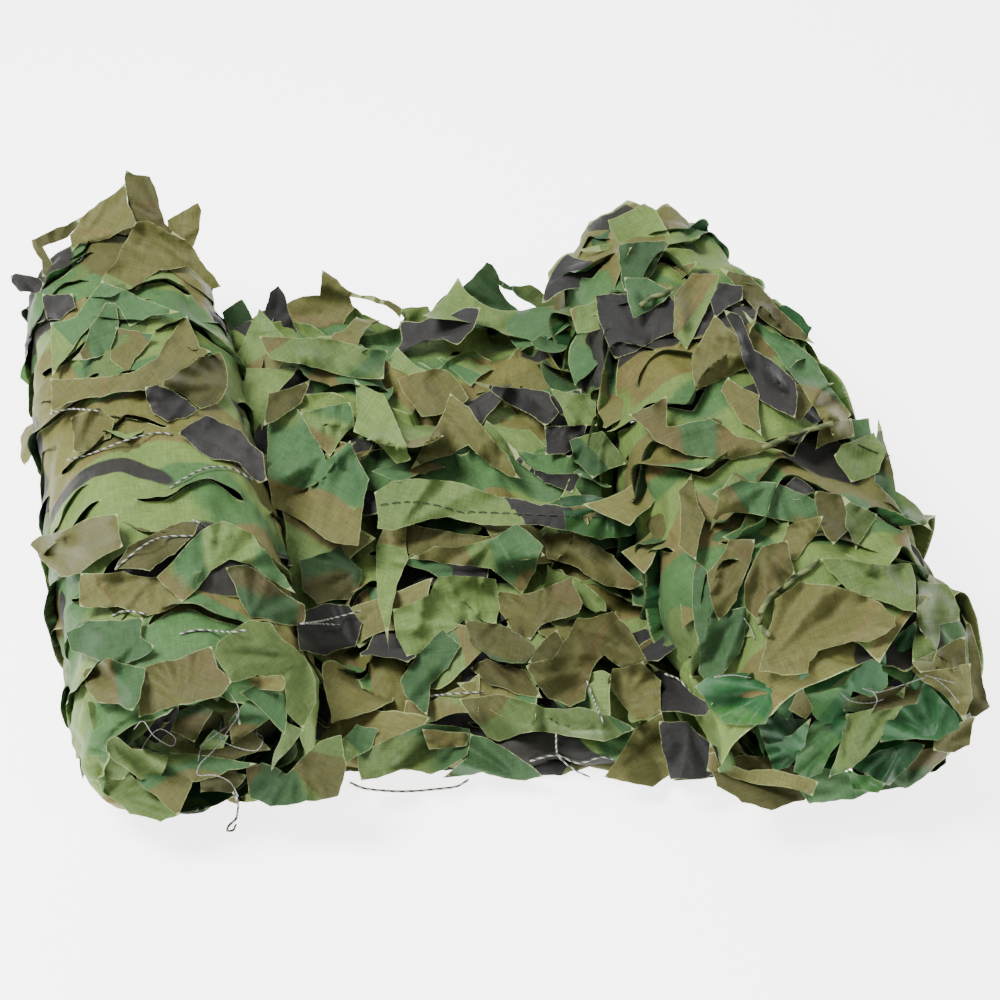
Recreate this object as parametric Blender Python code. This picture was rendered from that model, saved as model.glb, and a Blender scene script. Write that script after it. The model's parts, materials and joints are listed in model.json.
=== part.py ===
"""Leaf-cut camouflage net, folded lengthwise and rolled up from both ends.

One cloth, 1.5 m wide and 3 m long, is slit all over in rows of leaf-shaped cuts. It is
folded back and forth to a third of its width and rolled up from both ends, so that two
rolls stand on the floor with an open stretch of three plies between them. Each roll is
one solid of its wound form, with its rows of leaves overlapping like shingles, the turns
showing at its ends and its loose leaves standing out. The open stretch is one folded
sheet with the cuts gaping through all its plies. Two ends of twine hang out at the front.

Frame: origin under the middle of the whole bundle, +X across from the left roll to the
right one, +Y from the front ends of the rolls to their back ends, +Z up. Metres.
"""

import math
import random
from dataclasses import dataclass

import bmesh
import bpy
from mathutils import Vector, noise

# ---- Driving dimensions
CLOTH_WIDTH = 1.50
FOLDS = 3  # the cloth is folded lengthwise in three
ROLL_LENGTH = CLOTH_WIDTH / FOLDS
CELL = 0.080  # one leaf and the bridge beside it, along a row
ROW = 0.050  # from one row of cuts to the next
CLOTH = 0.0016  # how thick the sheet stands, its frayed edges included
TWINE = 0.0016  # diameter of the twine
FLOOR_GAP = 0.0002  # under twine that lies on the floor
CENTRE = (-0.0045, -0.0105)  # middle of the whole bundle, in the layout that the numbers below use

# ---- The wound form of a roll
FLATTENING = 0.82  # height over width, because a loose roll sags
ROUNDNESS = 2.3  # exponent of the section: 2 is an ellipse
SWELL = 0.06  # how much fatter the middle is than the ends
END_ROUNDING = 0.10  # how much the section shrinks right at an end
END_ROUNDING_LENGTH = 0.030
SINK = 0.004  # how far the section is cut flat by the floor
LUMP = 0.0045  # height of the slow lumps in the surface
LUMP_SIZE = 0.085
COLUMNS = 38  # faces round a roll
OUTER_CLEAR = (0.010, 0.034)  # leaves start to stand out between these heights, outer side
INNER_CLEAR = (0.052, 0.070)  # and on the side where the open stretch lies

# ---- One row of leaves on a roll
LEAF_REACH = (0.006, 0.022)  # how far a leaf hangs forward over the next row
LEAF_TIP = (0.3, 0.7)  # where its tip lies across the leaf
LIFT_BETWEEN = 0.25  # share of the lift that is left between two leaves
UNDERCUT = 0.004  # how far the shadow gap runs back under a leaf
MID_ROW = 0.4  # share of a row at which a leaf is half as high as at its edge
ROOT_HEIGHT = 0.0006

# ---- The turns seen at the ends of a roll
TURNS = 2.6
TURN_DEPTH = 0.014  # from the edge of a ply down into the gap beside it
END_RINGS = (0.87, 0.73, 0.58, 0.42, 0.24)  # shares of the radius
END_BOWL = 0.022  # how far the middle of an end lies inside its rim

# ---- The open stretch between the rolls
PLY_FRONT = -0.2330  # y of the front fold
PLY_BACK = 0.2160  # y of the back fold
FRONT_FOLD_RADIUS = 0.0070
BACK_FOLD_RADIUS = 0.0110
HEM_SHARE = 0.46  # where the top ply's hem lies, from the front (0) to the back (1)
HEM_WIDTH = 0.028
HEM_RADIUS = 0.0026
SHEET_COLUMNS = 17
CUT_COLUMNS = 3  # a cut is this many columns long
CELL_COLUMNS = 4  # and repeats after this many
CUT_OPENING = (0.005, 0.011)  # half the width of a gaping cut
LIP_RISE = (0.004, 0.013)  # how far one lip of a cut stands up in the middle ply
FLANK_GAP = 0.0020  # between the sheet and the side of a roll
HALVINGS = 24  # steps in which the side of a roll is found
BILLOW = 0.0110  # height of the sheet's folds
RIDGE_SIZE = (0.050, 0.110)  # of the narrow folds, in x and y
WAVE_SIZE = (0.120, 0.090)  # of the wide ones
BACK_RISE = 0.014  # how much higher the sheet stands at its back fold
RISE_SPAN = (0.6, 1.05)  # from where to where it rises, as shares of the way back


@dataclass(frozen=True)
class Roll:
    """A wound end of the net. inner is +1 where the open stretch lies on its +X side."""

    name: str
    front: tuple  # x, y under the middle of its front end
    heading: float  # degrees that its axis turns from +Y towards -X
    length: float
    front_half_width: float
    back_half_width: float
    inner: int
    seed: int
    lift: tuple  # how high its leaves stand


LEFT = Roll("left_roll", (-0.1460, -0.2565), 14.6, ROLL_LENGTH, 0.0690, 0.0650, +1, 3, (0.004, 0.012))
RIGHT = Roll("right_roll", (0.2530, -0.2410), 12.0, ROLL_LENGTH, 0.0790, 0.0630, -1, 8, (0.005, 0.016))


@dataclass(frozen=True)
class Leaf:
    """A loose leaf. Angles are in degrees."""

    place: tuple  # root on a roll: metres from its front end, angle round it (0 is +X, 90 the top)
    heading: float  # from the roll's axis (0 points back) towards greater angles
    length: float
    width: float
    lift: float  # off the surface at its root
    curl: float  # how much further it bends by its tip


LEFT_LEAVES = (
    Leaf((0.455, 92), -8, 0.092, 0.066, 20, 14),
    Leaf((0.450, 55), -38, 0.066, 0.048, 22, 16),
    Leaf((0.440, 126), 26, 0.054, 0.050, 16, 8),
    Leaf((0.410, 160), 62, 0.052, 0.032, 20, -10),
    Leaf((0.340, 158), 110, 0.048, 0.048, 14, -26),
    Leaf((0.240, 166), 125, 0.054, 0.046, 18, -20),
    Leaf((0.130, 160), 82, 0.054, 0.050, 16, -22),
    Leaf((0.060, 168), 140, 0.054, 0.046, 18, -20),
    Leaf((0.415, 60), -150, 0.066, 0.056, 12, 2),
    Leaf((0.300, 95), 172, 0.068, 0.060, 9, 2),
    Leaf((0.205, 55), -158, 0.064, 0.058, 10, 0),
    Leaf((0.125, 105), 176, 0.070, 0.060, 9, 0),
    Leaf((0.035, 122), 170, 0.060, 0.062, 6, -46),
    Leaf((0.034, 62), -168, 0.056, 0.058, 6, -40),
    Leaf((0.030, 20), -175, 0.046, 0.046, 10, -40),
)
RIGHT_LEAVES = (
    Leaf((0.430, 122), 62, 0.066, 0.054, 10, -8),
    Leaf((0.432, 62), -55, 0.070, 0.048, 18, -4),
    Leaf((0.430, 92), 8, 0.062, 0.060, 10, 6),
    Leaf((0.385, 142), 108, 0.058, 0.054, 14, -20),
    Leaf((0.350, 128), 150, 0.074, 0.060, 20, -22),
    Leaf((0.290, 100), 175, 0.078, 0.060, 16, -12),
    Leaf((0.330, 36), -70, 0.052, 0.048, 22, -24),
    Leaf((0.215, 28), -110, 0.056, 0.046, 24, -22),
    Leaf((0.120, 16), -100, 0.054, 0.046, 26, -20),
    Leaf((0.190, 120), 160, 0.076, 0.058, 18, -12),
    Leaf((0.140, 75), -170, 0.080, 0.062, 16, -18),
    Leaf((0.100, 130), 126, 0.060, 0.054, 18, -20),
    Leaf((0.045, 112), 178, 0.066, 0.066, 12, -44),
    Leaf((0.040, 56), -158, 0.064, 0.062, 12, -36),
    Leaf((0.055, 5), -140, 0.050, 0.046, 22, -26),
    Leaf((0.250, 132), 108, 0.062, 0.052, 16, -16),
)
# On the open stretch place is x, y and heading is measured from +Y towards -X.
SHEET_LEAVES = (
    Leaf((-0.146, 0.190), 14, 0.050, 0.046, 26, 4),
    Leaf((-0.098, 0.192), -10, 0.056, 0.050, 26, 6),
    Leaf((-0.045, 0.198), 24, 0.044, 0.042, 20, 4),
    Leaf((0.018, 0.186), -2, 0.064, 0.062, 28, 4),
    Leaf((0.060, 0.182), 6, 0.050, 0.040, 24, 4),
    Leaf((-0.020, 0.120), 150, 0.060, 0.056, 28, -26),
    Leaf((0.055, 0.070), -170, 0.064, 0.056, 24, -22),
    Leaf((-0.075, 0.050), 170, 0.062, 0.054, 26, -26),
    Leaf((-0.020, -0.100), 172, 0.066, 0.056, 22, -26),
    Leaf((0.085, -0.105), -160, 0.064, 0.056, 24, -26),
    Leaf((0.040, -0.186), 178, 0.056, 0.058, 14, -30),
)

# ---- Twine, as points on its route
TIE_LOOP_ROUTE = (
    (-0.1222, -0.2555, 0.0860),
    (-0.1208, -0.2580, 0.0740),
    (-0.1217, -0.2595, 0.0640),
    (-0.1278, -0.2610, 0.0555),
    (-0.1360, -0.2635, 0.0450),
    (-0.1410, -0.2655, 0.0375),
    (-0.1357, -0.2660, 0.0330),
    (-0.1303, -0.2655, 0.0260),
    (-0.1276, -0.2655, 0.0150),
    (-0.1285, -0.2660, 0.0050),
    (-0.1300, -0.2690, 0.0010),
    (-0.1335, -0.2735, 0.0010),
    (-0.1340, -0.2775, 0.0010),
    (-0.1305, -0.2770, 0.0010),
    (-0.1292, -0.2728, 0.0010),
)
EDGE_TWINE_ROUTE = (
    (-0.0600, -0.2425, 0.0050),
    (-0.0520, -0.2445, 0.0020),
    (-0.0420, -0.2455, 0.0010),
    (-0.0300, -0.2465, 0.0010),
    (-0.0160, -0.2460, 0.0010),
    (-0.0040, -0.2445, 0.0010),
    (0.0080, -0.2440, 0.0030),
    (0.0150, -0.2435, 0.0090),
)


def chance(*key):
    """A number from 0 to 1 that is always the same for the same key."""
    return random.Random(repr(key)).random()


def between(limits, share):
    return limits[0] + (limits[1] - limits[0]) * share


def smooth_step(low, high, value):
    share = min(1.0, max(0.0, (value - low) / (high - low)))
    return share * share * (3 - 2 * share)


# ---- The wound form


def roll_section(roll, along):
    """(centre, direction across, direction of the axis, half width, half height) of a section."""
    share = along / roll.length
    to_end = min(along, roll.length - along)
    rounding = 1 - END_ROUNDING * (1 - smooth_step(0.0, END_ROUNDING_LENGTH, to_end))
    swell = 1 + SWELL * math.sin(math.pi * share)
    half_width = between((roll.front_half_width, roll.back_half_width), share) * swell * rounding
    half_height = half_width * FLATTENING
    turn = math.radians(roll.heading)
    across = Vector((math.cos(turn), math.sin(turn), 0))
    axis = Vector((-math.sin(turn), math.cos(turn), 0))
    start = Vector((*roll.front, half_height - SINK))
    return start + axis * along, across, axis, half_width, half_height


def freedom(roll, angle, height):
    """0 where the floor or the open stretch holds the roll's leaves down, 1 where they stand free."""
    clear = OUTER_CLEAR if math.cos(angle) * roll.inner < 0 else INNER_CLEAR
    return smooth_step(*clear, height)


def roll_point(roll, angle, along, height=0.0, share=1.0):
    """The point at an angle round the roll, `height` above its plain form, or at a share of its radius."""
    centre, across, axis, half_width, half_height = roll_section(roll, along)
    flat, tall = abs(math.cos(angle)) / half_width, abs(math.sin(angle)) / half_height
    radius = (flat**ROUNDNESS + tall**ROUNDNESS) ** (-1 / ROUNDNESS)
    outwards = across * math.cos(angle) + Vector((0, 0, math.sin(angle)))
    point = centre + outwards * radius * share
    free = freedom(roll, angle, point.z)
    lump = LUMP * noise.noise(Vector((point.x, point.y, point.z + roll.seed)) / LUMP_SIZE)
    point += outwards * (lump + height) * free * share
    point.z = max(point.z, 0.0)
    return point


def roll_angle(column):
    """Columns run once round the roll from the middle of its underside."""
    return -math.pi / 2 + 2 * math.pi * column / COLUMNS


def leaf_edge(roll, row, column):
    """(reach, lift) of the free edge of a row of leaves: each leaf is a lobe with its tip off centre."""
    girth = 2 * math.pi * roll.front_half_width * (1 + FLATTENING) / 2
    cell = column / COLUMNS * girth / CELL + 0.5 * (row % 2)
    leaf = math.floor(cell)
    across = cell - leaf
    tip = between(LEAF_TIP, chance(roll.seed, row, leaf, "tip"))
    rise = across / tip if across < tip else (1 - across) / (1 - tip)
    lobe = math.sin(rise * math.pi / 2)
    reach = between(LEAF_REACH, chance(roll.seed, row, leaf, "reach")) * lobe
    lift = between(roll.lift, chance(roll.seed, row, leaf, "lift"))
    return reach, lift * (LIFT_BETWEEN + (1 - LIFT_BETWEEN) * lobe)


def roll_loops(roll):
    """The loops of points round the roll, from its front rim to its back rim."""
    rows = round(roll.length / ROW)
    pitch = roll.length / rows
    angles = [roll_angle(column) for column in range(COLUMNS)]
    loops = [[roll_point(roll, angle, 0.0) for angle in angles]]
    loops.append([roll_point(roll, angle, MID_ROW * pitch) for angle in angles])
    for row in range(1, rows):
        under, lip, middle = [], [], []
        for column, angle in enumerate(angles):
            reach, lift = leaf_edge(roll, row, column)
            edge = row * pitch - reach
            free = freedom(roll, angle, roll_point(roll, angle, edge).z)
            under.append(roll_point(roll, angle, edge + UNDERCUT * (2 * free - 1), ROOT_HEIGHT))
            lip.append(roll_point(roll, angle, edge, lift))
            middle.append(roll_point(roll, angle, (row + MID_ROW) * pitch, lift / 2))
        loops += [under, lip, middle]
    loops.append([roll_point(roll, angle, roll.length) for angle in angles])
    return loops


def end_rings(roll, along, outwards):
    """Rings of points on a roll's end. A spiral of ply edges and gaps winds to the middle.

    outwards is -1 at the front end and +1 at the back end.
    """
    axis = roll_section(roll, along)[2]
    rings = []
    for share in END_RINGS:
        ring = []
        for column in range(COLUMNS):
            angle = roll_angle(column)
            spiral = 0.5 - 0.5 * math.cos(2 * math.pi * TURNS * share + roll.inner * angle)
            inside = TURN_DEPTH * spiral + END_BOWL * (1 - share)
            point = roll_point(roll, angle, along, 0.0, share)
            ring.append(point - axis * outwards * inside)
        rings.append(ring)
    middle = roll_section(roll, along)[0] - axis * outwards * (END_BOWL + TURN_DEPTH / 2)
    return rings, middle


# ---- Making meshes

SHARP_FROM = 35  # degrees between faces at which an edge is drawn sharp


def new_object(name, mesh, material):
    mesh.materials.append(material)
    mesh.shade_smooth()
    mesh.set_sharp_from_angle(angle=math.radians(SHARP_FROM))
    made = bpy.data.objects.new(name, mesh)
    bpy.context.scene.collection.objects.link(made)
    return made


def bridge(shape, first, second):
    """Faces between two closed loops of vertices with equal counts."""
    for i in range(len(first)):
        j = (i + 1) % len(first)
        shape.faces.new((first[i], first[j], second[j], second[i]))


def mesh_from(shape, name):
    bmesh.ops.recalc_face_normals(shape, faces=shape.faces)
    mesh = bpy.data.meshes.new(name)
    shape.to_mesh(mesh)
    shape.free()
    return mesh


def make_roll(roll, material):
    shape = bmesh.new()
    front_rings, front_middle = end_rings(roll, 0.0, -1)
    back_rings, back_middle = end_rings(roll, roll.length, +1)
    loops = front_rings[::-1] + roll_loops(roll) + back_rings
    placed = [[shape.verts.new(point) for point in loop] for loop in loops]
    for first, second in zip(placed, placed[1:]):
        bridge(shape, first, second)
    for loop, middle in ((placed[0], front_middle), (placed[-1], back_middle)):
        centre = shape.verts.new(middle)
        for i in range(COLUMNS):
            shape.faces.new((loop[i], loop[(i + 1) % COLUMNS], centre))
    return new_object(roll.name, mesh_from(shape, roll.name), material)


LEAF_STEPS = 4
LEAF_OUTLINE = (0.92, 1.0, 0.90, 0.55, 0.06)  # width along the leaf, root to tip
LEAF_CREASE = 0.22  # how far the edges fall below the midrib, over the half width
LEAF_ROOT = 0.010  # length of root inside what carries it
ROOT_BACK = 0.006  # how far the root lies behind the leaf's place
ROOT_DOWN = 0.005  # and below it


def add_leaf(shape, root, forward, up, leaf):
    """Adds a creased, curling leaf as a closed plate."""
    side = forward.cross(up).normalized()
    step = (leaf.length + LEAF_ROOT) / LEAF_STEPS
    point = root - forward * ROOT_BACK - up * ROOT_DOWN
    rings = []
    for station, width in enumerate(LEAF_OUTLINE):
        turned = math.radians(leaf.lift + leaf.curl * station / LEAF_STEPS)
        along = forward * math.cos(turned) + up * math.sin(turned)
        over = up * math.cos(turned) - forward * math.sin(turned)
        half = leaf.width / 2 * width
        fall = over * (LEAF_CREASE * half)
        thick = over * CLOTH / 2
        left, right = point - side * half - fall, point + side * half - fall
        ring = (left + thick, point + thick, right + thick, right - thick, point - thick, left - thick)
        rings.append([shape.verts.new(p) for p in ring])
        point = point + along * step
    for first, second in zip(rings, rings[1:]):
        bridge(shape, first, second)
    shape.faces.new(rings[0])
    shape.faces.new(rings[-1])


def join_onto(carrier, shape):
    """Joins the plates in shape onto the carrier, as one solid."""
    name = carrier.name + "_leaves"
    leaves = bpy.data.objects.new(name, mesh_from(shape, name))
    bpy.context.scene.collection.objects.link(leaves)
    leaves.hide_render = True
    leaves.display_type = "WIRE"
    joined = carrier.modifiers.new("join leaves", "BOOLEAN")
    joined.operation = "UNION"
    joined.solver = "EXACT"
    joined.use_self = True
    joined.object = leaves


def leaves_of_roll(roll, leaves):
    shape = bmesh.new()
    for leaf in leaves:
        along, angle = leaf.place[0], math.radians(leaf.place[1])
        root = roll_point(roll, angle, along, ROOT_HEIGHT)
        _, across, axis, _, _ = roll_section(roll, along)
        up = across * math.cos(angle) + Vector((0, 0, math.sin(angle)))
        around = up.cross(axis).normalized()
        turn = math.radians(leaf.heading)
        forward = axis * math.cos(turn) + around * math.sin(turn)
        add_leaf(shape, root, forward, up, leaf)
    return shape


# ---- The open stretch


def flank(roll, y, z):
    """x of the side of a roll that faces the open stretch, at a given y and height."""
    turn = math.radians(roll.heading)
    low, high = (-math.pi / 2, 0.0) if roll.inner > 0 else (math.pi, 1.5 * math.pi)
    along = min(max((y - roll.front[1]) / math.cos(turn), 0.0), roll.length)
    for _ in range(HALVINGS):  # halve the range of angles until the surface is at this height
        middle = (low + high) / 2
        point = roll_point(roll, middle, along)
        if (point.z < z) == (roll.inner > 0):
            low = middle
        else:
            high = middle
        along = min(max(along + (y - point.y) / math.cos(turn), 0.0), roll.length)
    return roll_point(roll, (low + high) / 2, along).x + roll.inner * FLANK_GAP


def path_stations():
    """Stations along the folded path, as (y, z, slope angle, ply, opens) from its first edge to its hem.

    slope is the path's direction in the YZ plane, 0 along +Y; ply counts from the floor;
    opens says that a row of cuts runs through the station.
    """
    depth = PLY_BACK - PLY_FRONT
    half_rows = round(depth / (ROW / 2))
    floor = CLOTH / 2
    second = floor + 2 * FRONT_FOLD_RADIUS
    third = second + 2 * BACK_FOLD_RADIUS
    stations = []
    for i in range(half_rows + 1):
        stations.append((PLY_BACK - depth * i / half_rows, floor, math.pi, 0, i % 2 == 1))
    for i in range(1, 4):
        swept = math.pi * i / 4
        y = PLY_FRONT - FRONT_FOLD_RADIUS * math.sin(swept)
        z = floor + FRONT_FOLD_RADIUS * (1 - math.cos(swept))
        stations.append((y, z, math.pi - swept, 0.5, False))
    for i in range(half_rows + 1):
        stations.append((PLY_FRONT + depth * i / half_rows, second, 0.0, 1, i % 2 == 1))
    for i in range(1, 4):
        swept = math.pi * i / 4
        y = PLY_BACK + BACK_FOLD_RADIUS * math.sin(swept)
        z = second + BACK_FOLD_RADIUS * (1 - math.cos(swept))
        stations.append((y, z, swept, 1.5, False))
    top_rows = round(depth * (1 - HEM_SHARE) / (ROW / 2))
    hem_y = PLY_BACK - depth * (1 - HEM_SHARE)
    for i in range(top_rows + 1):
        y = PLY_BACK + (hem_y - PLY_BACK) * i / top_rows
        stations.append((y, third, math.pi, 2, i % 2 == 1 and i < top_rows - 1))
    for i in range(1, 4):
        swept = math.pi * i / 4
        y = hem_y - HEM_RADIUS * math.sin(swept)
        z = third - HEM_RADIUS * (1 - math.cos(swept))
        stations.append((y, z, math.pi + swept, 2, False))
    stations.append((hem_y, third - 2 * HEM_RADIUS, 2 * math.pi, 2, False))
    stations.append((hem_y + HEM_WIDTH, third - 2 * HEM_RADIUS, 2 * math.pi, 2, False))
    return stations


def billow(x, y):
    """The sheet's slow folds, from -1 to 1: mostly ridges that run from front to back."""
    ridges = noise.noise(Vector((x / RIDGE_SIZE[0], y / RIDGE_SIZE[1], 4.0)))
    waves = noise.noise(Vector((x / WAVE_SIZE[0], y / WAVE_SIZE[1], 9.0)))
    return max(-1.0, min(1.0, 1.5 * ridges + 0.9 * waves))


def sheet_point(across, station, opening, lift):
    """A point of the sheet at a share of the way across it."""
    y, z, slope, ply, _ = station
    y += math.cos(slope) * opening
    z += math.sin(slope) * opening
    rise = BACK_RISE * smooth_step(*RISE_SPAN, (y - PLY_FRONT) / (PLY_BACK - PLY_FRONT)) * (ply / 2)
    highest = z + rise + (BILLOW / 2 * ply + lift if ply else 0.0)
    left, right = (flank(roll, y, highest) for roll in (LEFT, RIGHT))
    x = left + (right - left) * across
    z += rise + (billow(x, y) * BILLOW * ply / 2 + lift if ply else 0.0)
    return Vector((x, y, max(z, CLOTH / 2)))


def cut_starts(row):
    """Columns at which the cuts of a row start. Rows are staggered by half a cell."""
    first = 1 + (row % 2) * CELL_COLUMNS // 2
    return range(first, SHEET_COLUMNS - CUT_COLUMNS, CELL_COLUMNS)


def make_sheet(material):
    """The folded sheet. A cut is two lips of vertices that share their ends."""
    shape = bmesh.new()
    before, row = None, 0
    for station in path_stations():
        ply, opens = station[3], station[4]
        near, far = [], []
        gaping = {}
        if opens:
            for start in cut_starts(row):
                gaping.update({start + i: start for i in range(1, CUT_COLUMNS)})
            row += 1
        for column in range(SHEET_COLUMNS + 1):
            across = column / SHEET_COLUMNS
            if column not in gaping:
                shared = shape.verts.new(sheet_point(across, station, 0.0, 0.0))
                near.append(shared)
                far.append(shared)
                continue
            stands = between(LIP_RISE, chance("lip", row, gaping[column])) * (1 + ply) / 2
            opening = between(CUT_OPENING, chance("cut", row, gaping[column]))
            lips = (stands, 0.0) if ply == 2 else (0.0, stands)
            near.append(shape.verts.new(sheet_point(across, station, -opening, lips[0])))
            far.append(shape.verts.new(sheet_point(across, station, opening, lips[1])))
        if before:
            for i in range(SHEET_COLUMNS):
                shape.faces.new((before[i], before[i + 1], near[i + 1], near[i]))
        before = far
    made = new_object("open_stretch", mesh_from(shape, "open_stretch"), material)
    thick = made.modifiers.new("cloth", "SOLIDIFY")
    thick.thickness = CLOTH
    thick.offset = 0.0
    return made


def leaves_of_sheet():
    shape = bmesh.new()
    depth = PLY_BACK - PLY_FRONT
    second = CLOTH / 2 + 2 * FRONT_FOLD_RADIUS
    for leaf in SHEET_LEAVES:
        x, y = leaf.place
        share = (y - PLY_FRONT) / depth
        ply = 2 if share > HEM_SHARE else 1
        z = second + (2 * BACK_FOLD_RADIUS if ply == 2 else 0.0)
        z += BACK_RISE * smooth_step(*RISE_SPAN, share) * ply / 2 + billow(x, y) * BILLOW * ply / 2
        turn = math.radians(leaf.heading)
        forward = Vector((-math.sin(turn), math.cos(turn), 0))
        add_leaf(shape, Vector((x, y, z)), forward, Vector((0, 0, 1)), leaf)
    return shape


# ---- Twine


def smooth_route(points, steps=3):
    """Points on a smooth curve through the route's own points (Catmull-Rom)."""
    route = [Vector(p) for p in points]
    padded = [route[0] * 2 - route[1], *route, route[-1] * 2 - route[-2]]
    found = []
    for a, b, c, d in zip(padded, padded[1:], padded[2:], padded[3:]):
        for i in range(steps):
            t = i / steps
            bend = (2 * a - 5 * b + 4 * c - d) * t**2 + (3 * b - a - 3 * c + d) * t**3
            found.append((2 * b + (c - a) * t + bend) / 2)
    found.append(route[-1])
    for point in found:
        point.z = max(point.z, TWINE / 2 + FLOOR_GAP)
    return found


def make_twine(name, route, material):
    curve = bpy.data.curves.new(name, "CURVE")
    curve.dimensions = "3D"
    curve.bevel_depth = TWINE / 2
    curve.bevel_resolution = 2
    curve.use_fill_caps = True
    points = smooth_route(route)
    spline = curve.splines.new("POLY")
    spline.points.add(len(points) - 1)
    for place, point in zip(spline.points, points):
        place.co = (*point, 1.0)
    curve.materials.append(material)
    made = bpy.data.objects.new(name, curve)
    bpy.context.scene.collection.objects.link(made)
    return made


# ---- Materials


def make_material(name, colour, roughness):
    material = bpy.data.materials.new(name)
    material.use_nodes = True
    shader = material.node_tree.nodes["Principled BSDF"]
    shader.inputs["Base Color"].default_value = (*colour, 1.0)
    shader.inputs["Roughness"].default_value = roughness
    shader.inputs["Metallic"].default_value = 0.0
    return material


def main():
    for old in list(bpy.data.objects):
        bpy.data.objects.remove(old)
    cloth = make_material("woodland_cloth", (0.19, 0.25, 0.09), 0.7)
    twine = make_material("twine", (0.25, 0.27, 0.22), 0.8)
    for roll, leaves in ((LEFT, LEFT_LEAVES), (RIGHT, RIGHT_LEAVES)):
        join_onto(make_roll(roll, cloth), leaves_of_roll(roll, leaves))
    join_onto(make_sheet(cloth), leaves_of_sheet())
    make_twine("tie_loop", TIE_LOOP_ROUTE, twine)
    make_twine("edge_twine", EDGE_TWINE_ROUTE, twine)
    for placed in bpy.data.objects:
        placed.location = (-CENTRE[0], -CENTRE[1], 0.0)


main()
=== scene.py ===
# %% [markdown]
# # A leaf-cut camouflage net, folded in three and rolled up from both ends
#
# The real net is one thin cloth, 1.5 m wide. A machine cuts it in rows of short S-shaped
# slits, and twine is stitched along the rows. When the cloth is pulled or bent, each slit
# opens like a mouth and its two lips curl up as leaves. Here the cloth has been folded
# lengthwise in three and rolled up from both ends.
#
# The lesson builds it as a maker would: a flat cloth is cut first, laid round each roll
# and folded between them, and then a cloth simulation lets the cuts open by themselves.
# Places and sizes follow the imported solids.

import json
import math
import random
from dataclasses import dataclass

import bmesh
import bpy
from mathutils import Matrix, Vector, kdtree, noise
from mathutils.bvhtree import BVHTree
from mathutils.geometry import delaunay_2d_cdt

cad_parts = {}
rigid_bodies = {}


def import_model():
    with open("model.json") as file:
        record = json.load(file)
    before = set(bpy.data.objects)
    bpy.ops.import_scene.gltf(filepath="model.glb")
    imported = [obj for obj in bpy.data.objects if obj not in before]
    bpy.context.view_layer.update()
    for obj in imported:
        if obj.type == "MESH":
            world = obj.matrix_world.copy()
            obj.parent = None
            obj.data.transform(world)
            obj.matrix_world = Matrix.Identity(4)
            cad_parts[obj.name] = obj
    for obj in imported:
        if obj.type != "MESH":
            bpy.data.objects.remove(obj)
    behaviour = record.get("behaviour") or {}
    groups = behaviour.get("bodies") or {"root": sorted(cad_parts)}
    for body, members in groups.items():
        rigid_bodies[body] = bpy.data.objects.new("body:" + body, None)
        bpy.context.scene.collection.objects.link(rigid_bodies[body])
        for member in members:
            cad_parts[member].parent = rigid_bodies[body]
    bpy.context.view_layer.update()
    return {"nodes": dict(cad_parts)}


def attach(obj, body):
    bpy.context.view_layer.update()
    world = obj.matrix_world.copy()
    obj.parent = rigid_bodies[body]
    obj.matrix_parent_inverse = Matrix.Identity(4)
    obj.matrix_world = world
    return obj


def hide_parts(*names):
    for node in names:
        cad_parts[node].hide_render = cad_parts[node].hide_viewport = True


for left_over in list(bpy.data.objects):
    bpy.data.objects.remove(left_over)
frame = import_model()
scene = bpy.context.scene


def new_object(name, data, material=None):
    """An object of a mesh, a lamp or a camera, put into the scene."""
    if material:
        data.materials.append(material)
    made = bpy.data.objects.new(name, data)
    scene.collection.objects.link(made)
    return made


print("nodes", sorted(frame["nodes"]))

# %% [markdown]
# ## Camera, light and floor
# The photograph looks down on the bundle at 42 degrees with a long lens, so the rolls
# hardly narrow towards the back. The light is soft and comes from all round, with a
# little more from above and behind the camera. A big area light and a bright world give
# that. The floor is almost white, as in a product photograph.

# %% Camera at the photograph's angle
EYE = Vector((0.0395, -0.9745, 0.914))
LOOK_DOWN = 42.0
LENS = 66.0

lens = bpy.data.cameras.new("camera")
lens.lens = LENS
camera = new_object("camera", lens)
camera.location = EYE
camera.rotation_euler = (math.radians(90 - LOOK_DOWN), 0, 0)
scene.camera = camera


# %% Soft studio light and the floor
def area_light(name, place, aim, size, power):
    lamp = bpy.data.lights.new(name, "AREA")
    lamp.size = size
    lamp.energy = power
    made = new_object(name, lamp)
    made.location = place
    made.rotation_euler = (Vector(aim) - Vector(place)).to_track_quat("-Z", "Y").to_euler()


area_light("key", (-0.8, -0.2, 1.5), (0, 0, 0), 0.6, 56)
area_light("fill", (1.2, -0.9, 1.1), (0, 0, 0), 1.4, 9)
area_light("back", (0.2, 1.4, 1.2), (0, 0, 0.05), 1.0, 8)

world = bpy.data.worlds.new("studio")
world.use_nodes = True
sky = world.node_tree.nodes["Background"].inputs
sky["Color"].default_value = (1, 1, 1, 1)
sky["Strength"].default_value = 0.66
scene.world = world

paper = bpy.data.materials.new("white_floor")
paper.use_nodes = True
finish = paper.node_tree.nodes["Principled BSDF"].inputs
finish["Base Color"].default_value = (0.97, 0.97, 0.97, 1)
finish["Roughness"].default_value = 0.9
finish["Emission Color"].default_value = (1, 1, 1, 1)
finish["Emission Strength"].default_value = 3.6

REACH = 6.0
floor_mesh = bpy.data.meshes.new("floor")
floor_corners = [(-REACH, -REACH, 0), (REACH, -REACH, 0), (REACH, REACH, 0), (-REACH, REACH, 0)]
floor_mesh.from_pydata(floor_corners, [], [(0, 1, 2, 3)])
floor = new_object("floor", floor_mesh, paper)
floor.location.z = -0.0005
print("camera, three lights and the floor are in place")

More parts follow.
